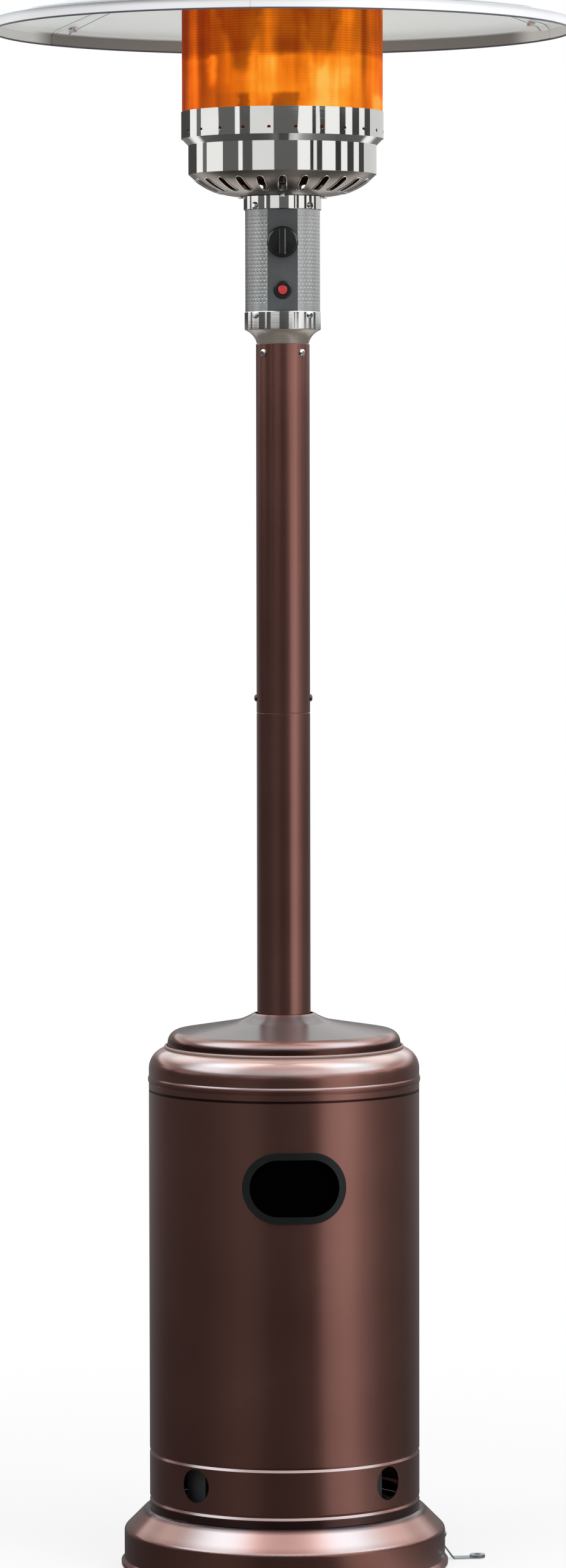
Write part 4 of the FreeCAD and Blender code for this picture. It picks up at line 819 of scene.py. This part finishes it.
def slot_rims():
    """Rolled edges round the bowl's slots, laid on its curved outside and sunk a little into it."""
    slots, thick, sunk = 24, 0.0007, 0.0003
    curve = round_wire("slot_rims", thick, 2)
    outline = slot_outline()
    for index in range(slots):
        turn = 2 * math.pi * index / slots
        rim = []
        for radial, across in outline:
            x = radial * math.cos(turn) - across * math.sin(turn)
            y = radial * math.sin(turn) + across * math.cos(turn)
            rim.append((x, y, bowl_height(math.hypot(x, y)) - sunk))
        spline = curve.splines.new("POLY")
        add_points(spline, rim)
        spline.use_cyclic_u = True
    link(bpy.data.objects.new("slot_rims", curve), "stand", chrome)


def lid_bead():
    """A thin rolled bead on the housing's shoulder, close round the lid's foot."""
    thick, sides = 0.0021, 12
    profile = []
    for step in range(sides):
        turn = 2 * math.pi * step / sides
        profile.append((lid_radius + 0.00283 + thick * math.cos(turn), thick * math.sin(turn)))
    bead = turned_ring("lid_bead", profile, (0, 0, lid_foot + 0.0016), 128)
    link(bead, "tank_housing", plain_paint)


gas_hose()
lid_bead()
hose_ferrule("lower_ferrule", hose_route[0], 1)
hose_ferrule("upper_ferrule", hose_route[-1], -1)
slot_rims()


# Camera, floor, studio and light

# Light levels round the post: 0 and 1 are the back, 0.25 the left, 0.5 the front and 0.75 the right
WALL_CARDS = (
    (0.0, 0.16), (0.10, 0.15), (0.18, 0.1), (0.29, 0.09), (0.35, 0.12), (0.40, 0.19), (0.435, 0.17),
    (0.465, 0.08), (0.575, 0.09), (0.595, 0.62), (0.65, 0.86), (0.69, 0.46), (0.74, 0.22), (0.82, 0.13),
    (0.90, 0.15), (1.0, 0.16))
SLATS = (
    (0.0, 0.06), (0.14, 1.0), (0.18, 0.15), (0.205, 0.95), (0.285, 0.12), (0.345, 1.0), (0.36, 0.09),
    (0.395, 0.8), (0.47, 0.12), (0.55, 1.0), (0.59, 0.04), (0.603, 0.9), (0.617, 0.05), (0.635, 1.0),
    (0.685, 0.04), (0.71, 1.0), (0.735, 0.05), (0.766, 0.95), (0.795, 0.06), (0.825, 0.7))
drum_radius, drum_height = 7.0, 9.0


def camera():
    """The photograph's view: in front of the post, tipped down a little and leaning by a trace."""
    distance, height = 8.1, 1.54
    tip, lean, view_angle = math.radians(2.98), math.radians(0.1), math.radians(15.67)
    data = bpy.data.cameras.new("photo_camera")
    data.sensor_width = 36.0
    data.lens = data.sensor_width / 2 / math.tan(view_angle / 2)
    data.clip_end = 200.0
    seen_from = bpy.data.objects.new("photo_camera", data)
    bpy.context.scene.collection.objects.link(seen_from)
    seen_from.location = (0.0, -distance, height)
    seen_from.rotation_euler = (math.pi / 2 - tip, lean, 0.0)
    bpy.context.scene.camera = seen_from


def rays_that_see(finish):
    """1 for camera, glossy and transmission rays, else 0."""
    path = finish.node("ShaderNodeLightPath", {}, {})
    looking, glossy, through = [
        Reading(finish, path.outputs[f"Is {kind} Ray"]) for kind in ("Camera", "Glossy", "Transmission")]
    return looking.largest(glossy).largest(through)


def studio_world():
    """White where it is seen, and softer where it only lights."""
    world = bpy.data.worlds.new("studio_world")
    world.use_nodes = True
    finish = Finish(world.node_tree)
    background = world.node_tree.nodes["Background"]
    give(finish, background, {"Strength": rays_that_see(finish) * 0.4 + 0.6, "Color": (1.0, 1.0, 1.0)})
    bpy.context.scene.world = world


def stage_piece(name, build):
    """A piece of the studio, with the mesh that a function builds."""
    shape = bmesh.new()
    build(shape)
    mesh = bpy.data.meshes.new(name)
    shape.to_mesh(mesh)
    shape.free()
    piece = bpy.data.objects.new(name, mesh)
    bpy.context.scene.collection.objects.link(piece)
    return piece


def shine(material, finish, share, dark_side, light):
    """Shows a light in place of another shader, by a share from 0 to 1."""
    blend = finish.node(
        "ShaderNodeMixShader", {},
        {"Fac": share, "Shader": dark_side, "Shader_001": light.outputs["Emission"]})
    give(finish, material.node_tree.nodes["Material Output"], {"Surface": blend.outputs["Shader"]})


def floor_disc(shape):
    bmesh.ops.create_circle(shape, cap_ends=True, radius=60.0, segments=96)


def studio_floor():
    """Pale floor that keeps the heater's shadow and turns to the white of the background further out."""
    floor = stage_piece("studio_floor", floor_disc)
    floor.location.z = -0.0005
    material, finish, shader = new_material("studio_floor")
    x, y = finish.axes(finish.place())[:2]
    share = radius_of(x, y).eased(0.5, 2.2, 0.7, 1.0)
    give(finish, shader, {"Base Color": (0.86, 0.86, 0.86), "Roughness": 0.8, "Specular IOR Level": 0.1})
    white = finish.node("ShaderNodeEmission", {}, {"Color": (1, 1, 1, 1), "Strength": 1.0})
    shine(material, finish, share * rays_that_see(finish), shader.outputs["BSDF"], white)
    floor.data.materials.append(material)


def greys(levels):
    return [(place, (level, level, level)) for place, level in levels]


def card_light(finish, x, y, z):
    """Light of the cards round the post: a broad bright one at the right and dim ones elsewhere.

    Level with the burner they turn to slats, and higher up to white, with a dark part at the left front.
    """
    turn = turn_of(x, y) / (2 * math.pi) + 0.5
    left_front = turn.eased(0.12, 0.22) * turn.fading(0.5, 0.585)
    left_dimmed = 1 - left_front * z.eased(0.2, 0.7, 0.0, 0.6)
    further = radius_of(x, y).eased(1.5, drum_radius, 0.8, 1.25) * left_dimmed
    cards = finish.ramp(turn, greys(WALL_CARDS))
    lower = finish.mix(1.0, cards, finish.vector(further, further, further), "MULTIPLY")
    slats = finish.ramp(turn, greys(SLATS), "CONSTANT")
    middle = finish.mix(z.eased(1.955, 1.985), lower, slats)
    high = finish.mix(z.eased(4.3, 5.3), (0.84, 0.93, 0.95), (1.6, 1.78, 1.82))
    upper = finish.mix(z.eased(3.1, 3.7), (1.35, 1.35, 1.35), high)
    dimmed = finish.mix(left_front * 0.75, upper, (0.0, 0.0, 0.0))
    return finish.mix(z.eased(2.56, 2.62), middle, dimmed)


def aside_of(x, y):
    """Degrees to either side of the front."""
    return abs(turn_of(x, y)) * (180 / math.pi)


def squareness(finish):
    """1 where a card is seen square on, and 0 where it is seen edge on."""
    return 1 - finish.reading("ShaderNodeLayerWeight", {}, {"Blend": 0.5}, "Facing")


def canopy_share(finish, x, y, z):
    """Where the canopy shines: most at both sides, and only when seen from well below."""
    aside = aside_of(x, y)
    out = radius_of(x, y).eased(0.7, 1.5, 0.16, 0.42)
    bright = aside.eased(34.0, 62.0, out, 1.0) * aside.fading(84.0, 114.0)
    from_below = finish.reading("ShaderNodeNewGeometry", {}, {}, "Backfacing")
    return bright * squareness(finish).eased(0.3, 0.5) * from_below


def floor_share(finish, x, y, z):
    """Where the floor cards cover the white floor: all round the front, and at the back at a low angle."""
    return aside_of(x, y).fading(136.0, 142.0).largest(squareness(finish).fading(0.3, 0.45))


def sky(finish, x, y, z):
    """Pale blue light that the bronze turns to a pinkish white, plain grey close to the head."""
    return finish.mix(radius_of(x, y).eased(0.6, 1.0), (0.5, 0.5, 0.5), (0.44, 0.82, 1.0))


def whole(finish, x, y, z):
    return 1.0


def gloss_card(name, build, colour, strength, share):
    """A card that only gloss sees, lit by its own colour where its share says, and clear elsewhere."""
    card = stage_piece(name, build)
    card.visible_camera = False
    card.visible_diffuse = False
    card.visible_transmission = False
    card.visible_shadow = False
    material, finish = new_material(name)[:2]
    x, y, z = finish.axes(finish.place())
    light = finish.node("ShaderNodeEmission", {}, {"Color": colour(finish, x, y, z), "Strength": strength})
    clear = finish.node("ShaderNodeBsdfTransparent", {}, {})
    shine(material, finish, share(finish, x, y, z), clear.outputs["BSDF"], light)
    card.data.materials.append(material)


def drum(shape):
    bmesh.ops.create_cone(
        shape, cap_ends=False, radius1=drum_radius, radius2=drum_radius, depth=drum_height, segments=96)
    bmesh.ops.translate(shape, verts=shape.verts, vec=(0, 0, drum_height / 2))


def sector(shape, inner, outer, height, half_turn):
    """A level ring round the post, open at the back beyond half_turn degrees from the front."""
    steps = 64
    rows = []
    for step in range(steps + 1):
        turn = math.radians(half_turn * (2 * step / steps - 1))
        row = []
        for radius in (inner, outer):
            row.append(shape.verts.new((radius * math.sin(turn), -radius * math.cos(turn), height)))
        rows.append(row)
    for here, there in zip(rows, rows[1:]):
        shape.faces.new((here[0], here[1], there[1], there[0]))


def floor_cards(shape):
    sector(shape, base_radius + 0.002, drum_radius, 0.001, 180.0)


def canopy(shape):
    sector(shape, collar_radius + 0.0068, 3.2, collar_top + 0.05, 125.0)


def soft_box(name, place, aim, width, height, watts):
    """A lamp turned to a point, that neither the camera nor gloss sees."""
    data = bpy.data.lights.new(name, "AREA")
    data.shape = "RECTANGLE"
    data.size, data.size_y = width, height
    data.energy = watts
    lamp = bpy.data.objects.new(name, data)
    bpy.context.scene.collection.objects.link(lamp)
    lamp.location = place
    across, along, rise = [to - start for to, start in zip(aim, place)]
    lamp.rotation_euler = (math.atan2(math.hypot(across, along), -rise), 0.0, math.atan2(-across, along))
    lamp.visible_camera = False
    lamp.visible_glossy = False


camera()
studio_world()
studio_floor()
gloss_card("upright_cards", drum, card_light, 1.0, whole)
gloss_card("floor_cards", floor_cards, card_light, 1.0, floor_share)
gloss_card("canopy_card", canopy, sky, 6.6, canopy_share)
soft_box("top_box", (0.0, -1.5, 4.6), (0.0, -0.4, 0.0), 3.6, 2.6, 95.0)
soft_box("right_box", (3.6, -4.2, 2.4), (0.0, 0.0, 1.2), 1.6, 3.0, 70.0)
soft_box("left_box", (-4.2, -3.4, 2.2), (0.0, 0.0, 1.2), 1.6, 3.0, 35.0)
soft_box("back_box", (1.5, 4.6, 3.0), (0.0, 0.0, 1.2), 2.6, 3.0, 60.0)
bpy.context.scene.view_settings.view_transform = "Standard"
